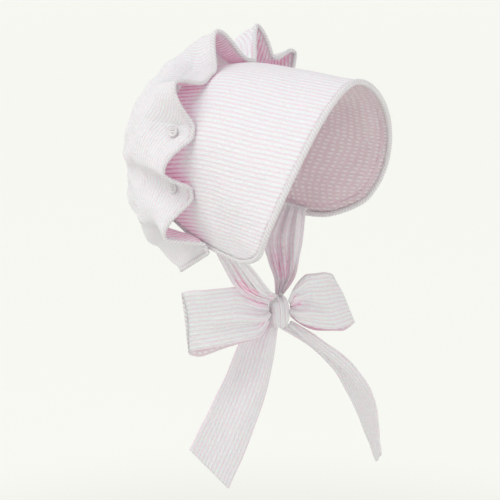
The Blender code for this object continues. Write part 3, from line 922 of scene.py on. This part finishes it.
@dataclass
class Crown:
    """Crown cloth buttoned over the back of the brim, with waves between its buttons and a neck flap."""

    brim: Brim
    cloth: float = 0.0016
    piping_radius: float = 0.0016
    length: float = 0.0585
    puff: float = 0.021
    lift: float = 0.025
    pull: float = 0.020
    clearance: float = 0.0004
    stand: float = 0.0013
    lap_share: float = 0.36
    nape_rise: float = 0.019
    nape_forward: float = 0.011
    valley_half: float = 0.020
    crease: float = 1.7
    flap_end: float = 1.18
    flap_corner: Row = (-0.059, 0.0500, -0.0785)
    flap_back: Row = (-0.0865, 0.0432, -0.0690)
    flat_size: Row = (0.26, 0.28)
    rows: int = 560
    columns: int = 64
    edge_around: Row = (0.0, 0.146, 0.285, 0.448, 0.58, 0.714, 0.93, 1.0)
    edge_along: Row = (0.83, 0.83, 0.80, 0.75, 0.735, 0.715, 0.62, 0.55)
    puff_around: Row = (0.0, 0.3, 0.58, 0.714, 0.80, 0.93, 1.0, 1.18)
    puff_share: Row = (0.90, 0.56, 0.52, 0.42, 0.46, 0.74, 0.45, 0.0)
    # Waves: start, peak, end (way round), lift, pull, rise and fall exponents.
    near_waves: tuple[Row, ...] = (
        (-0.146, 0.020, 0.146, 0.86, 0.50, 2.9, 1.7),
        (0.146, 0.310, 0.448, 0.84, 0.42, 4.5, 1.3),
        (0.448, 0.600, 0.714, 0.60, 0.60, 1.3, 1.4),
        (0.714, 0.890, 0.985, 0.76, 0.90, 1.4, 1.2),
    )
    far_waves: tuple[Row, ...] = (
        (0.146, 0.208, 0.370, 1.16, 0.68, 1.2, 1.4),
        (0.270, 0.390, 0.448, 1.46, 0.56, 1.3, 1.2),
        (0.448, 0.600, 0.714, 0.66, 0.50, 1.4, 1.4),
        (0.714, 0.890, 0.985, 0.72, 0.85, 1.4, 1.2),
    )

    def edge(self, way: Array) -> Array:
        """Where the crown's edge lies on the brim, as a share of its depth."""
        return Curve(self.edge_around, self.edge_along)(way)

    def wave(self, around: Array) -> tuple[Array, Array, Array]:
        """Weight, lift and pull of the edge's waves."""
        flat, lift, pull, total = np.ones_like(around), *(np.zeros_like(around) for _ in range(3))
        for way, table in ((around, self.near_waves), (-around, self.far_waves)):
            for start, peak, end, up, back, rise, fall in table:
                left = (way - start - self.valley_half) / (peak - start - self.valley_half)
                right = (end - way - self.valley_half) / (end - peak - self.valley_half)
                u = np.clip(np.where(way < peak, left, right), 0, 1)
                share = np.sin(u * math.pi / 2) ** np.where(way < peak, rise, fall)
                flat = flat * (1 - share)
                lift = lift + share * self.lift * up
                pull = pull + share * self.pull * back
                total = total + share
        total = np.maximum(total, 1e-9)
        return 1 - flat, lift / total, pull / total

    def point(self, around: Number, along: Number) -> Array:
        """Outside of the crown.

        Args:
            around: way round, past one on the neck flap.
            along: 0 at the free edge, 1 on the back's centre line.

        Returns:
            Design coordinates.
        """
        brim = self.brim
        around, along = np.broadcast_arrays(np.asarray(around, float), np.asarray(along, float))
        size = np.abs(around)
        way = np.minimum(size, 1.0)
        edge = self.edge(way)
        e = 2e-3
        mid = np.clip(way, e, 1 - e)
        run = brim.half(mid + e, edge) - brim.half(mid - e, edge)
        normal = unit(np.stack([np.zeros_like(way), np.abs(run[..., 2]), run[..., 1]], -1))
        weight, lift, pull = self.wave(around)
        puff = self.puff * Curve(self.puff_around, self.puff_share)(size)
        lap = np.clip(along / self.lap_share, 0, 1)
        base = brim.half(way, edge + (1 - edge) * lap)
        flap = np.clip((size - 1) / (self.flap_end - 1), 0, 1)[..., None]
        front = np.array(self.flap_corner) - brim.half(1.0, self.edge_along[-1])
        back = np.array(self.flap_back) - brim.half(1.0, 1.0)
        base = base + flap * (front * (1 - lap[..., None]) + back * lap[..., None])
        dome = np.clip((along - self.lap_share) / (1 - self.lap_share), 0, 1)
        lap_length = np.linalg.norm(brim.half(way, np.ones_like(way)) - brim.half(way, edge), axis=-1)
        distance = lap * lap_length + dome * 1.5 * self.length
        reach = Curve((0.55, 0.714, 0.85), (1.0, self.crease, 1.0))(size)
        still = Curve((0, 0.013, 0.024, 0.036, 0.048), (0, 0, 0.35, 0.8, 1))(distance / reach)
        moved = Curve((0, 0.015, 0.030, 0.048), (0, 0.12, 0.55, 1))(distance)
        out = (1 - weight) * puff * still + weight * (lift + (puff - lift) * moved)
        over_piping = Curve((0.0, 0.90, 0.96, 1.0), (0.0, 0.0, 0.0016, 0.0020))(way)
        stand = self.stand * (1 - Curve((0, 0.002, 0.008), (0, 0.1, 1))(distance))
        out = out + self.cloth + self.clearance + over_piping + stand
        point = base + normal * out[..., None]
        point[..., 0] -= weight * pull * (1 - Curve((0, 0.020, 0.040), (0, 0.6, 1))(distance))
        low = np.clip((size - brim.arch_share) / (self.flap_end - brim.arch_share), 0, 1)
        pole = -0.584 * brim.depth - self.length + self.nape_forward * low**2
        centre = np.stack([pole, np.zeros_like(pole), (self.flap_corner[2] + self.nape_rise) * low], -1)
        power = 2.0 / Curve((0, brim.arch_share, self.flap_end), (1.46, 1.90, 2.00))(size)
        cosine = np.maximum(np.cos(dome * math.pi / 2), 1e-9) ** power
        sine = np.maximum(np.sin(dome * math.pi / 2), 0.0) ** power
        rounded = centre + (point - centre) * cosine[..., None]
        rounded[..., 0] = point[..., 0] - (point[..., 0] - pole) * sine
        point = np.where((dome > 0)[..., None], rounded, point)
        point[..., 1] *= np.where(around < 0, -1.0, 1.0)
        return point

    def flat(self, ways: Array, points: Array) -> tuple[Array, Array]:
        """Lay the crown out flat.

        Args:
            ways: way round of each row.
            points: grid of rows by columns, in design coordinates.

        Returns:
            Distance from the centre line, and distance up it, of each point.
        """
        length = lengths_along(points, 1)
        reach = length[:, -1:] - length
        fan = np.clip(np.abs(ways) / self.brim.arch_share, 0, 1) * math.pi / 2
        drop = np.clip(np.abs(ways) - self.brim.arch_share, 0, 1) * 0.19
        full = 1.35 + 0.55 * np.exp(-((ways / 0.22) ** 2))
        across = np.sign(ways)[:, None] * reach * (np.sin(fan) * full)[:, None]
        up = reach * np.cos(fan)[:, None] - drop[:, None]
        return across, up

    def build(self, cloth: bpy.types.Material, piping: bpy.types.Material, shade: Shade) -> None:
        """Make and dress the crown and its piping.

        Args:
            cloth: seersucker.
            piping: bias piping.
            shade: notes the sheets.
        """
        ways = np.linspace(-self.flap_end, self.flap_end, self.rows)
        inset = self.lap_share * (self.piping_radius - 0.0004) / 0.0155
        along = inset + (0.985 - inset) * np.linspace(0, 1, self.columns) ** 1.15
        points = self.point(ways[:, None], along[None, :])
        closed = np.concatenate([points, self.point(ways, np.ones_like(ways))[:, None]], axis=1)
        across, up = self.flat(ways, closed)
        edge = lengths_along(points, 1) + 0.0004
        outward = unit(np.cross(np.gradient(points, axis=0), np.gradient(points, axis=1)))
        outward *= np.sign(np.sum(outward * (points - np.array((-0.06, 0.0, 0.0))), axis=-1).mean())
        calm = np.clip((edge - 0.022) / 0.02, 0, 1) * np.clip((1.02 - along) / 0.2, 0, 1)
        calm = calm * np.clip((self.flap_end - np.abs(ways)) / 0.15, 0, 1)[:, None]
        soft = ripple(across[:, :-1], up[:, :-1], 5, 0.030) * 0.0011
        soft = soft + ripple(across[:, :-1], up[:, :-1], 8, 0.014) * 0.0004
        points = points + outward * (soft * calm)[..., None]
        run = np.broadcast_to(lengths_along(points[:, :1], 0), edge.shape)
        weave = np.stack([across[:, :-1], up[:, :-1], np.zeros_like(edge)], -1).reshape(-1, 3)
        seam = np.stack([edge, run, np.zeros_like(edge)], -1).reshape(-1, 3)
        rows, columns = points.shape[:2]
        faces = [tuple(reversed(f)) for f in grid_faces(rows, columns)]
        flat_points = list(points.reshape(-1, 3))
        extra: list[Row] = []
        shared: dict[float, int] = {}
        centre_of = []
        for i, s in enumerate(ways):
            key = round(max(abs(s), self.brim.arch_share), 5)
            if key not in shared:
                shared[key] = len(flat_points)
                flat_points.append(closed[i, -1])
                extra.append((0.0, float(up[i, -1]), 0.0))
            centre_of.append(shared[key])
        last = columns - 1
        for i in range(rows - 1):
            a, b = i * columns + last, (i + 1) * columns + last
            ring = (a, b, centre_of[i + 1], centre_of[i])
            faces.append(ring if centre_of[i] != centre_of[i + 1] else ring[:3])
        weave = np.concatenate([weave, np.array(extra)])
        seam = np.concatenate([seam, np.tile((0.1, 0.0, 0.0), (len(extra), 1))])
        world = self.brim.world(np.array(flat_points))
        # The crown's inner face takes a part inner-face value, which paints it as shaded.
        made = Sheet("crown_cloth", world, faces, weave, seam, self.cloth, -1.0, inner_face_and_shade=(0.0, 0.35))
        facing, middles = (
            a[: rows * columns].reshape(rows, columns, 3)[:, columns // 2] for a in (made.normals(), world)
        )
        if np.sum(facing * (middles - self.brim.world(np.array((-0.06, 0, 0))))) < 0:
            made.faces = [tuple(reversed(f)) for f in faces]
        obj = fit(made.build(cloth), "crown")
        shade.add(obj, rows, columns, len(flat_points))
        outer = self.point(ways, np.zeros_like(ways))
        behind = self.point(ways, np.full_like(ways, 0.02))
        inward = unit(np.cross(behind - outer, np.gradient(outer, axis=0)))
        middle = np.array([-0.03, 0.0, 0.0])
        inward *= np.sign(np.sum(inward * (middle - outer), axis=1, keepdims=True))
        path = self.brim.world(outer + inward * self.cloth / 2)
        cord = Tube("crown_cord", path, self.piping_radius, 14, 0.04)
        fit(cord.build(piping), "crown_piping")
        made.area()


@dataclass
class Buttons:
    """Four-hole buttons sewn on in the crown's lower valleys."""

    crown: Crown
    radius: float = 0.0036
    thickness: float = 0.0016
    setback: float = 0.017
    clearance: float = 0.0006
    hole_radius: float = 0.00048
    hole_place: float = 0.00082
    thread_radius: float = 0.00026
    valleys: Row = (0.464, 0.730, 0.978, -0.464, -0.730, -0.978)

    def seat(self, way: float) -> tuple[Array, Array]:
        """Where a button rests.

        Args:
            way: way round of its valley.

        Returns:
            Centre of the button and its outward direction, in the shared frame.
        """
        crown, world = self.crown, self.crown.brim.world
        edge = crown.edge(np.array(abs(way)))
        lap_length = float(np.linalg.norm(crown.brim.half(abs(way), 1.0) - crown.brim.half(abs(way), edge)))
        along = crown.lap_share * self.setback / lap_length
        step = float(np.linalg.norm(crown.point(way + 0.01, along) - crown.point(way, along)))
        round_step = self.radius / step * 0.01
        long_step = crown.lap_share * self.radius / lap_length
        here = world(crown.point(way, along))
        flat = world(crown.point(np.array([way - round_step, way + round_step]), along))
        length = world(crown.point(way, np.array([along - long_step, along + long_step])))
        normal = unit(np.cross(flat[1] - flat[0], length[1] - length[0]))
        if np.dot(normal, here - world(np.array([-0.03, 0.0, 0.0]))) < 0:
            normal = -normal
        spread = np.linspace(-1.4, 1.4, 9)
        ways, alongs = np.meshgrid(way + round_step * spread, along + long_step * spread)
        under = world(crown.point(ways.ravel(), alongs.ravel())) - here
        height = under @ normal
        reach = np.linalg.norm(under - height[:, None] * normal, axis=1)
        rest = float(height[reach < self.radius * 1.15].max()) + self.clearance
        return here + normal * (rest + self.thickness / 2), normal

    def blank(self) -> bpy.types.Mesh:
        """Turned disc with a raised rim, a shallow well and four holes."""
        r, h = self.radius, self.thickness / 2
        profile = [(0.72, -1.0), (0.93, -0.72), (1.0, -0.1), (0.985, 0.45), (0.91, 0.92)]
        profile += [(0.80, 1.0), (0.69, 0.80), (0.58, 0.42), (0.46, 0.34)]
        sides = 48
        points: list[Row] = [(0.0, 0.0, -h)]
        for wide, high in profile:
            points += ring_points(r * wide, h * high, sides)
        points.append((0.0, 0.0, h * profile[-1][1]))
        faces: list[tuple[int, ...]] = [(0, 1 + (k + 1) % sides, 1 + k) for k in range(sides)]
        faces += ring_faces(len(profile), sides, 1)
        a, top = 1 + (len(profile) - 1) * sides, len(points) - 1
        faces += [(a + k, a + (k + 1) % sides, top) for k in range(sides)]
        mesh = bpy.data.meshes.new("button_blank")
        mesh.from_pydata(points, [], faces)
        disc = bpy.data.objects.new("button_blank", mesh)
        bpy.context.scene.collection.objects.link(disc)
        drills = []
        for x, y in ((1, 1), (1, -1), (-1, 1), (-1, -1)):
            place = (x * self.hole_place, y * self.hole_place, 0.0)
            bpy.ops.mesh.primitive_cylinder_add(
                vertices=20, radius=self.hole_radius, depth=self.thickness * 3, location=place
            )
            drill = bpy.context.object
            cut = disc.modifiers.new("hole", "BOOLEAN")
            cut.operation = "DIFFERENCE"
            cut.object = drill
            drills.append(drill)
        bpy.context.view_layer.update()
        graph = bpy.context.evaluated_depsgraph_get()
        done = bpy.data.meshes.new_from_object(disc.evaluated_get(graph))
        for extra in [disc, *drills]:
            bpy.data.objects.remove(extra, do_unlink=True)
        done.polygons.foreach_set("use_smooth", [True] * len(done.polygons))
        done.set_sharp_from_angle(angle=math.radians(38))
        return done

    def build(self, plastic: bpy.types.Material, thread: bpy.types.Material) -> None:
        """Make, sew on and dress the buttons.

        Args:
            plastic: the buttons' finish.
            thread: the sewing thread's finish.
        """
        blank = self.blank()
        blank.materials.clear()
        blank.materials.append(plastic)
        for index, way in enumerate(self.valleys):
            centre, normal = self.seat(way)
            turn = Vector(normal).to_track_quat("Z", "Y")
            obj = bpy.data.objects.new(f"sewn_button_{index + 1}", blank.copy())
            bpy.context.scene.collection.objects.link(obj)
            obj.location = centre
            obj.rotation_mode = "QUATERNION"
            obj.rotation_quaternion = turn
            fit(obj, f"button_{index + 1}")
            for strand, side in enumerate((-1, 1)):
                shares = np.linspace(-1, 1, 13)
                x = shares * self.hole_place
                z = self.thickness * (0.17 - 0.62 * np.abs(shares) ** 8) + self.thread_radius * 1.1
                local = np.stack([x, x * 0 + side * self.hole_place, z], -1)
                path = np.array([tuple(turn @ Vector(p)) for p in local]) + centre
                cord = Tube(f"button_thread_{index + 1}_{strand + 1}", path, self.thread_radius, 8)
                fit(cord.build(thread), None)


@dataclass
class Ribbon:
    """Strap of cloth between two edge curves, pleated lengthwise."""

    name: str
    left: Array
    right: Array
    pleat: Row
    gather: Row
    fold: float = 1.0
    folds: float = 3.0
    camber: float = 0.0
    rows: int = 170
    columns: int = 44
    cloth: float = 0.0014
    width: float = 0.038
    ease: float = 1.18
    inner_face_and_shade: Row = (0.0, 0.0)

    def build(self, brim: Brim, material: bpy.types.Material) -> tuple[bpy.types.Object, Sheet]:
        """Sweep, pleat and dress the strap.

        Args:
            brim: gives the shared frame.
            material: the cloth's finish.

        Returns:
            The piece and its sheet.
        """
        keys = tuple(np.linspace(0, 1, len(self.left)))
        share = np.linspace(0, 1, self.rows)
        a, b = (
            np.stack([Curve(keys, tuple(edge[:, i]))(share) for i in range(3)], -1)
            for edge in (np.array(self.left), np.array(self.right))
        )
        even = tuple(np.linspace(0, 1, len(self.pleat)))
        deep = Curve(even, self.pleat)(share)[:, None]
        fine = Curve(tuple(np.linspace(0, 1, len(self.gather))), self.gather)(share)[:, None]
        normal = unit(np.cross(np.gradient((a + b) / 2, axis=0), b - a))
        v = np.linspace(0, 1, self.columns)[None, :]
        rise = deep * np.sin(v * self.fold * TURN)
        waver = 0.13 * np.sin(share * 9)[:, None]
        rise = rise + fine * np.sin((v * self.folds + waver) * TURN) * np.sin(v * math.pi) ** 0.4
        rise = rise + self.camber * np.sin(v * math.pi) * np.sin(share * math.pi)[:, None]
        points = a[:, None] * (1 - v[..., None]) + b[:, None] * v[..., None]
        points = points + normal[:, None] * rise[..., None]
        middle = self.columns // 2
        long = np.broadcast_to(lengths_along(points, 0)[:, middle : middle + 1], rise.shape)
        rise_soft = ripple(v * self.width + 0 * long, long, len(self.name), 0.021) * 0.0003
        points = points + normal[:, None] * rise_soft[..., None]
        across = np.broadcast_to(v * self.width, rise.shape)
        stripes = across * self.ease
        hem = np.minimum(across, self.width - across) + 0.02
        weave = np.stack([stripes, long, np.zeros_like(rise)], -1).reshape(-1, 3)
        seam = np.stack([hem, long, np.zeros_like(rise)], -1).reshape(-1, 3)
        made = Sheet(
            self.name,
            brim.world(points).reshape(-1, 3),
            grid_faces(self.rows, self.columns),
            weave,
            seam,
            self.cloth,
            inner_face_and_shade=self.inner_face_and_shade,
        )
        return made.build(material), made


@dataclass
class Ties:
    """Chin ties from inside the brim's lower edge to the knot, with the bow and its two tails."""

    brim: Brim
    width: float = 0.038
    cloth: float = 0.0014
    clearance: float = 0.0004
    bow_forward: float = -0.009
    bow_drop: float = 0.120
    bow_turn: float = 36.0
    knot_half: Row = (0.0076, 0.0080, 0.0138)
    knot_fill: float = 0.8
    flat_share: float = 0.9
    ways: Row = (0.975, 0.985, 0.995)

    def place(self, right: Number, up: Number, out: Number) -> Array:
        """Design coordinates of a place in the bow's own frame."""
        turn = math.radians(self.bow_turn)
        forward = self.bow_forward + right * math.sin(turn) + out * math.cos(turn)
        sideways = -right * math.cos(turn) + out * math.sin(turn)
        return np.stack([forward, sideways, up - self.bow_drop + 0 * np.asarray(right)], -1)

    def edge(self, rows: Sequence[Row], side: float = 0.0, rise: float = 0.0) -> list[Array]:
        """Edge curve.

        Args:
            rows: (right, up, out) in shares of the tie's width.
            side: -1 or 1 to count from a side of the knot.
            rise: -1 or 1 to count from its foot or top.

        Returns:
            Design coordinates, station by station.
        """
        across = side * (self.knot_half[0] + self.clearance)
        above = rise * (self.knot_half[2] + self.clearance)
        w = self.width
        return [self.place(across + x * w, above + z * w, y * w) for x, z, y in rows]

    def inside_brim(self, around: float, along: float) -> Array:
        """Place of a tie's middle plane on the brim's inside, clear of the piping at its edge."""
        brim = self.brim
        over_cloth = brim.cloth + self.clearance + self.cloth / 2
        over_piping = brim.cloth / 2 + brim.piping_radius + self.clearance + self.cloth / 2
        share = float(Curve((0.93, 0.98), (0.0, 1.0))(abs(around)))
        depth = over_cloth + (over_piping - over_cloth) * share
        here = np.array(around), np.array(along)
        return brim.point(*here) + brim.inward(*here) * depth

    def tie(
        self, name: str, sign: int, back: float, front: float, rows: tuple[Sequence[Row], Sequence[Row]]
    ) -> Ribbon:
        """One chin tie.

        Args:
            name: name of the piece.
            sign: 1 on the wearer's right, -1 on the left.
            back: place of its back edge along the brim.
            front: place of its front edge.
            rows: lower edge curves, back and front.

        Returns:
            The strap.
        """
        left, right = (
            np.array([self.inside_brim(sign * way, along) for way in self.ways] + self.edge(low, rise=1.0))
            for along, low in ((back, rows[0]), (front, rows[1]))
        )
        pleat = (0.0, 0.0, 0.0006, 0.0022, 0.0026, 0.0012, 0.0003)
        gather = (0.0, 0.0002, 0.0008, 0.0017, 0.0019, 0.0012, 0.0003)
        # Both faces of the ties take a part inner-face value, which paints them pinker and darker as shade.
        return Ribbon(name, left, right, pleat, gather, folds=3.6, inner_face_and_shade=(0.42, 0.42))

    def knot(self, cloth: bpy.types.Material) -> bpy.types.Object:
        """The knot: a soft wrap of the strap, pleated from top to foot."""
        rows, sides = 44, 72
        u = np.linspace(-1, 1, rows)[:, None]
        turn = np.linspace(0, TURN, sides, endpoint=False)[None, :]
        body = np.maximum(1 - np.abs(u) ** 3.2, 0.0) ** (1 / 2.6)
        lean = u + 0.30 * np.sin(turn) * (1 - u**2)
        ridge = 0.965 + 0.085 * np.cos((lean * 1.7 + 0.12) * TURN) * (1 - u**4)
        ridge = ridge + 0.035 * np.cos(lean * 3.6 * TURN + 1.0)
        power = 0.72
        high = np.sign(np.sin(turn)) * np.abs(np.sin(turn)) ** power
        deep = np.sign(np.cos(turn)) * np.abs(np.cos(turn)) ** power
        x = u * self.knot_half[0] * 0.94 - 0.0005 * np.sin(turn)
        up = high * body * ridge * self.knot_half[2] * 0.97
        out = deep * body * ridge * self.knot_half[1] * 0.97
        points = self.place(x + 0.0008 * np.sin(turn) * (1 - u**2), up, out)
        faces = [(a, d, c, b) for a, b, c, d in ring_faces(rows, sides)]
        half = np.abs((np.arange(sides) / sides * 2 + 0.5) % 2 - 1)[None, :] * 0.022 + 0 * u
        weave = np.stack([u * 0.0125 - 0.34 * half, half, np.zeros_like(half)], -1)
        seam = np.stack([np.full_like(half, 0.1), half, np.full_like(half, 0.06)], -1)
        world = self.brim.world(points.reshape(-1, 3))
        return piece("knot_wrap", world, faces, cloth, weave.reshape(-1, 3), seam.reshape(-1, 3))

    def build(self, cloth: bpy.types.Material, shade: Shade) -> None:
        """Make and dress the ties, knot, loops and tails.

        Args:
            cloth: seersucker.
            shade: notes the sheets.
        """
        right = self.tie("right_tie_strap", 1, 0.58, 0.24, (TIE_RIGHT_BACK, TIE_RIGHT_FRONT))
        left = self.tie("left_tie_strap", -1, 0.66, 0.38, (TIE_LEFT_BACK, TIE_LEFT_FRONT))
        straps = [(right, "tie_right", Held.HUNG), (left, "tie_left", Held.HUNG)]
        pinch = (0.0018, 0.0034, 0.0016, 0.0, 0.0, 0.0, 0.0002, 0.0008, 0.0008)
        crease = (0.0014, 0.0028, 0.0012, 0.0, 0.0, 0.0, 0.0004, 0.0008, 0.0008)
        # One face of each loop, the one inside the loop, takes an inner-face value, which paints it as
        # shaded.
        for name, node, side, top, low, inner_face_and_shade in (
            ("right_loop_strap", "bow_loop_right", -1.0, LOOP_RIGHT_TOP, LOOP_RIGHT_LOW, (0.7, 0.0)),
            ("left_loop_strap", "bow_loop_left", 1.0, LOOP_LEFT_TOP, LOOP_LEFT_LOW, (0.0, 0.5)),
        ):
            edges = np.array(self.edge(top, side)), np.array(self.edge(low, side))
            loop = Ribbon(name, *edges, pinch, crease, 1.5, 3.0, 0.0008, inner_face_and_shade=inner_face_and_shade)
            straps.append((loop, node, Held.FOLDED))
        for name, node, back, front in (
            ("right_tail_strap", "tail_right", TAIL_RIGHT_BACK, TAIL_RIGHT_FRONT),
            ("left_tail_strap", "tail_left", TAIL_LEFT_BACK, TAIL_LEFT_FRONT),
        ):
            edges = np.array(self.edge(back, rise=-1.0)), np.array(self.edge(front, rise=-1.0))
            fall = (0.0004, 0.0046, 0.0040, 0.0010, 0.0004)
            gather = (0.0008, 0.0006, 0.0002, 0.0, 0.0)
            straps.append((Ribbon(name, *edges, fall, gather, 1.0, 2.5), node, Held.HUNG))
        for strap, node, held in straps:
            obj, made = strap.build(self.brim, cloth)
            fit(obj, node)
            shade.add(obj, strap.rows, strap.columns, strap.rows * strap.columns)
            flat = (self.width * self.flat_share, made.area() / self.width / self.flat_share)
        knot = fit(self.knot(cloth), "bow_knot")


# Chin ties below the brim: (right, up, out) in tie widths of the back edge, then of the front edge.
TIE_RIGHT_BACK = [(-1.14, 0.67, 0.18), (-0.94, 0.32, 0.27), (-0.62, 0.10, 0.28), (-0.25, -0.08, 0.16)]
TIE_RIGHT_FRONT = [(-0.65, 0.69, 0.62), (-0.41, 0.34, 0.44), (-0.28, 0.18, 0.30), (-0.11, 0.05, 0.16)]
TIE_LEFT_BACK = [(0.01, 0.87, -0.98), (0.02, 0.44, -0.68), (0.06, 0.13, -0.42), (0.02, -0.12, -0.26)]
TIE_LEFT_FRONT = [(0.77, 0.84, -0.8), (0.64, 0.47, -0.64), (0.45, 0.12, -0.42), (0.17, -0.12, -0.26)]
# Loops and tails, station by station from the knot.
LOOP_RIGHT_TOP = [(-0.03, 0.24, 0.05), (-0.27, 0.39, 0.12), (-0.74, 0.69, 0.18), (-1.46, 0.71, 0.15),
                  (-1.77, 0.63, 0), (-1.38, 0.55, -0.12), (-0.64, 0.47, -0.14), (-0.19, 0.25, -0.12),
                  (-0.01, 0.15, -0.06)]
LOOP_RIGHT_LOW = [(-0.05, -0.17, 0.1), (-0.24, -0.35, 0.22), (-0.86, -0.44, 0.22), (-1.37, -0.51, 0.15),
                  (-1.65, -0.62, 0), (-1.33, -0.78, -0.12), (-0.8, -0.68, -0.16), (-0.18, -0.55, -0.14),
                  (-0.01, -0.3, -0.08)]
LOOP_LEFT_TOP = [(0.01, 0.26, 0.05), (0.1, 0.6, 0.16), (0.29, 0.8, 0.24), (0.61, 0.77, 0.17),
                 (0.91, 0.62, 0), (0.74, 0.57, -0.16), (0.47, 0.52, -0.22), (0.24, 0.38, -0.17),
                 (0.05, 0.17, -0.06)]
LOOP_LEFT_LOW = [(0.01, -0.04, 0.1), (0.13, -0.16, 0.22), (0.47, -0.31, 0.25), (0.98, -0.45, 0.17),
                 (1.39, -0.44, 0), (1.18, -0.66, -0.16), (0.7, -0.61, -0.22), (0.29, -0.39, -0.17),
                 (0.06, -0.17, -0.08)]
TAIL_RIGHT_BACK = [(-0.07, 0.15, -0.245), (-0.6, -0.16, -0.32), (-1.02, -0.92, -0.2), (-1.47, -1.62, -0.04),
                   (-1.9, -2.31, 0.1)]
TAIL_RIGHT_FRONT = [(0.07, 0.15, -0.245), (0.01, -0.42, -0.26), (-0.2, -1.27, -0.12), (-0.62, -2.29, 0.04),
                    (-1.11, -3.3, 0.14)]
TAIL_LEFT_BACK = [(0.12, -0.065, -0.06), (0.62, -0.46, -0.24), (1.27, -1.15, -0.36), (1.87, -2.27, -0.42),
                  (2.35, -3.53, -0.38)]
TAIL_LEFT_FRONT = [(0.262, 0.13, 0.015), (0.82, -0.28, 0.12), (1.46, -0.85, 0.4), (1.92, -1.74, 0.5),
                   (2.07, -2.92, 0.46)]


@dataclass
class Studio:
    """Pale floor, soft lamps and camera."""

    floor_drop: float = 0.95
    floor_reach: float = 9.0
    floor_colour: Row = (0.22, 0.222, 0.213, 1.0)
    floor_glow: Row = (0.745, 0.752, 0.711, 1.0)
    floor_glow_dimmed_under_bonnet: Row = (0.45, 0.455, 0.43, 1.0)
    sky: Row = (0.95, 0.955, 0.95, 1.0)
    sky_strength: float = 0.64
    distance: float = 1.1
    lens: float = 110.0
    look_at: Row = (-0.032, -0.012, -0.125)
    seat: Row = (0.0, -0.025, -0.0629)
    towards_camera: Row = (-0.7928, -0.5348, 0.2924)

    def lamp(self, name: str, place: Row, size: float, power: float) -> None:
        """One soft square lamp that faces the bonnet.

        Args:
            name: name of the lamp.
            place: where it stands.
            size: side of its square, in metres.
            power: watts.
        """
        data = bpy.data.lights.new(name, "AREA")
        data.shape = "SQUARE"
        data.size = size
        data.energy = power
        obj = bpy.data.objects.new(name, data)
        obj.location = place
        aim = Vector(self.look_at) - Vector(place)
        obj.rotation_mode = "QUATERNION"
        obj.rotation_quaternion = aim.to_track_quat("-Z", "Y")
        bpy.context.scene.collection.objects.link(obj)

    def sweep(self, paint: bpy.types.Material) -> bpy.types.Object:
        """Round floor that curves up into a low backdrop far from the bonnet."""
        turn = np.linspace(0, math.pi / 2, 16)
        reach = self.floor_reach
        profile = [(r, 0.0) for r in (0.6, 1.5, 3.0, 6.0)]
        profile += [(reach + 3 * math.sin(v), 3 * (1 - math.cos(v))) for v in turn] + [(reach + 3, 4.0)]
        sides = 96
        points: list[Row] = [(0.0, 0.0, 0.0)]
        for r, z in profile:
            points += ring_points(r, z, sides)
        faces: list[tuple[int, ...]] = [(0, 1 + k, 1 + (k + 1) % sides) for k in range(sides)]
        faces += [(a, d, c, b) for a, b, c, d in ring_faces(len(profile), sides, 1)]
        made = piece("studio_floor", np.array(points), faces, paint, np.zeros((len(points), 3)))
        made.location = (0.0, 0.0, -self.floor_drop)
        return made

    def build(self) -> None:
        """Set the floor, the sky, the lamps and the camera."""
        scene = bpy.context.scene
        scene.view_settings.view_transform = "Standard"
        scene.view_settings.look = "None"
        world = bpy.data.worlds.new("soft sky")
        scene.world = world
        world.use_nodes = True
        ground = world.node_tree.nodes["Background"]
        ground.inputs["Color"].default_value = self.sky
        ground.inputs["Strength"].default_value = self.sky_strength
        floor_finish = Mixture("pale floor")
        spot = floor_finish.node("ShaderNodeTexCoord", {}, {}, 3)
        speck = floor_finish.node("ShaderNodeTexNoise", {}, {"Vector": spot, "Scale": 2.0, "Detail": 2.0})
        dim = tuple(c * 0.99 for c in self.floor_colour[:3]) + (1.0,)
        x, y = (floor_finish.node("ShaderNodeSeparateXYZ", {}, {0: spot}, i) for i in (0, 1))
        # The floor glows evenly far off as a pale backdrop; under the bonnet it glows less, which paints a
        # darker, shadow-like patch there.
        glow_colour = floor_finish.blend((x * x + y * y).step(0.05, 1.6), self.floor_glow_dimmed_under_bonnet, self.floor_glow)
        glow: dict[str, Value] = {"Roughness": 0.9, "Emission Color": glow_colour, "Emission Strength": 1.0}
        paint = floor_finish.close(floor_finish.blend(speck, self.floor_colour, dim), None, glow)
        floor = self.sweep(paint)
        self.lamp("key lamp", (-1.0, 0.6, 1.6), 1.3, 17.0)
        self.lamp("front lamp", (-0.6, -1.7, 0.5), 1.6, 4.0)
        data = bpy.data.cameras.new("camera")
        data.lens = self.lens
        data.clip_start = 0.05
        camera = bpy.data.objects.new("camera", data)
        scene.collection.objects.link(camera)
        camera.location = Vector(self.seat) + Vector(self.towards_camera) * self.distance
        aim = Vector(self.look_at) - camera.location
        camera.rotation_mode = "QUATERNION"
        camera.rotation_quaternion = aim.to_track_quat("-Z", "Y")
        scene.camera = camera


def main() -> None:
    """Build the bonnet piece by piece and light it."""
    logging.basicConfig(level=logging.INFO, format="%(name)s %(message)s")
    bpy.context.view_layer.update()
    cloth = Seersucker().make()
    piping = BiasPiping().make()
    shade = Shade()
    brim = Brim()
    brim.build(cloth, piping, shade)
    crown = Crown(brim)
    crown.build(cloth, piping, shade)
    Buttons(crown).build(PalePlastic().make(), Thread().make())
    Ties(brim).build(cloth, shade)
    shade.measure()
    Studio().build()


if __name__ == "__main__":
    main()
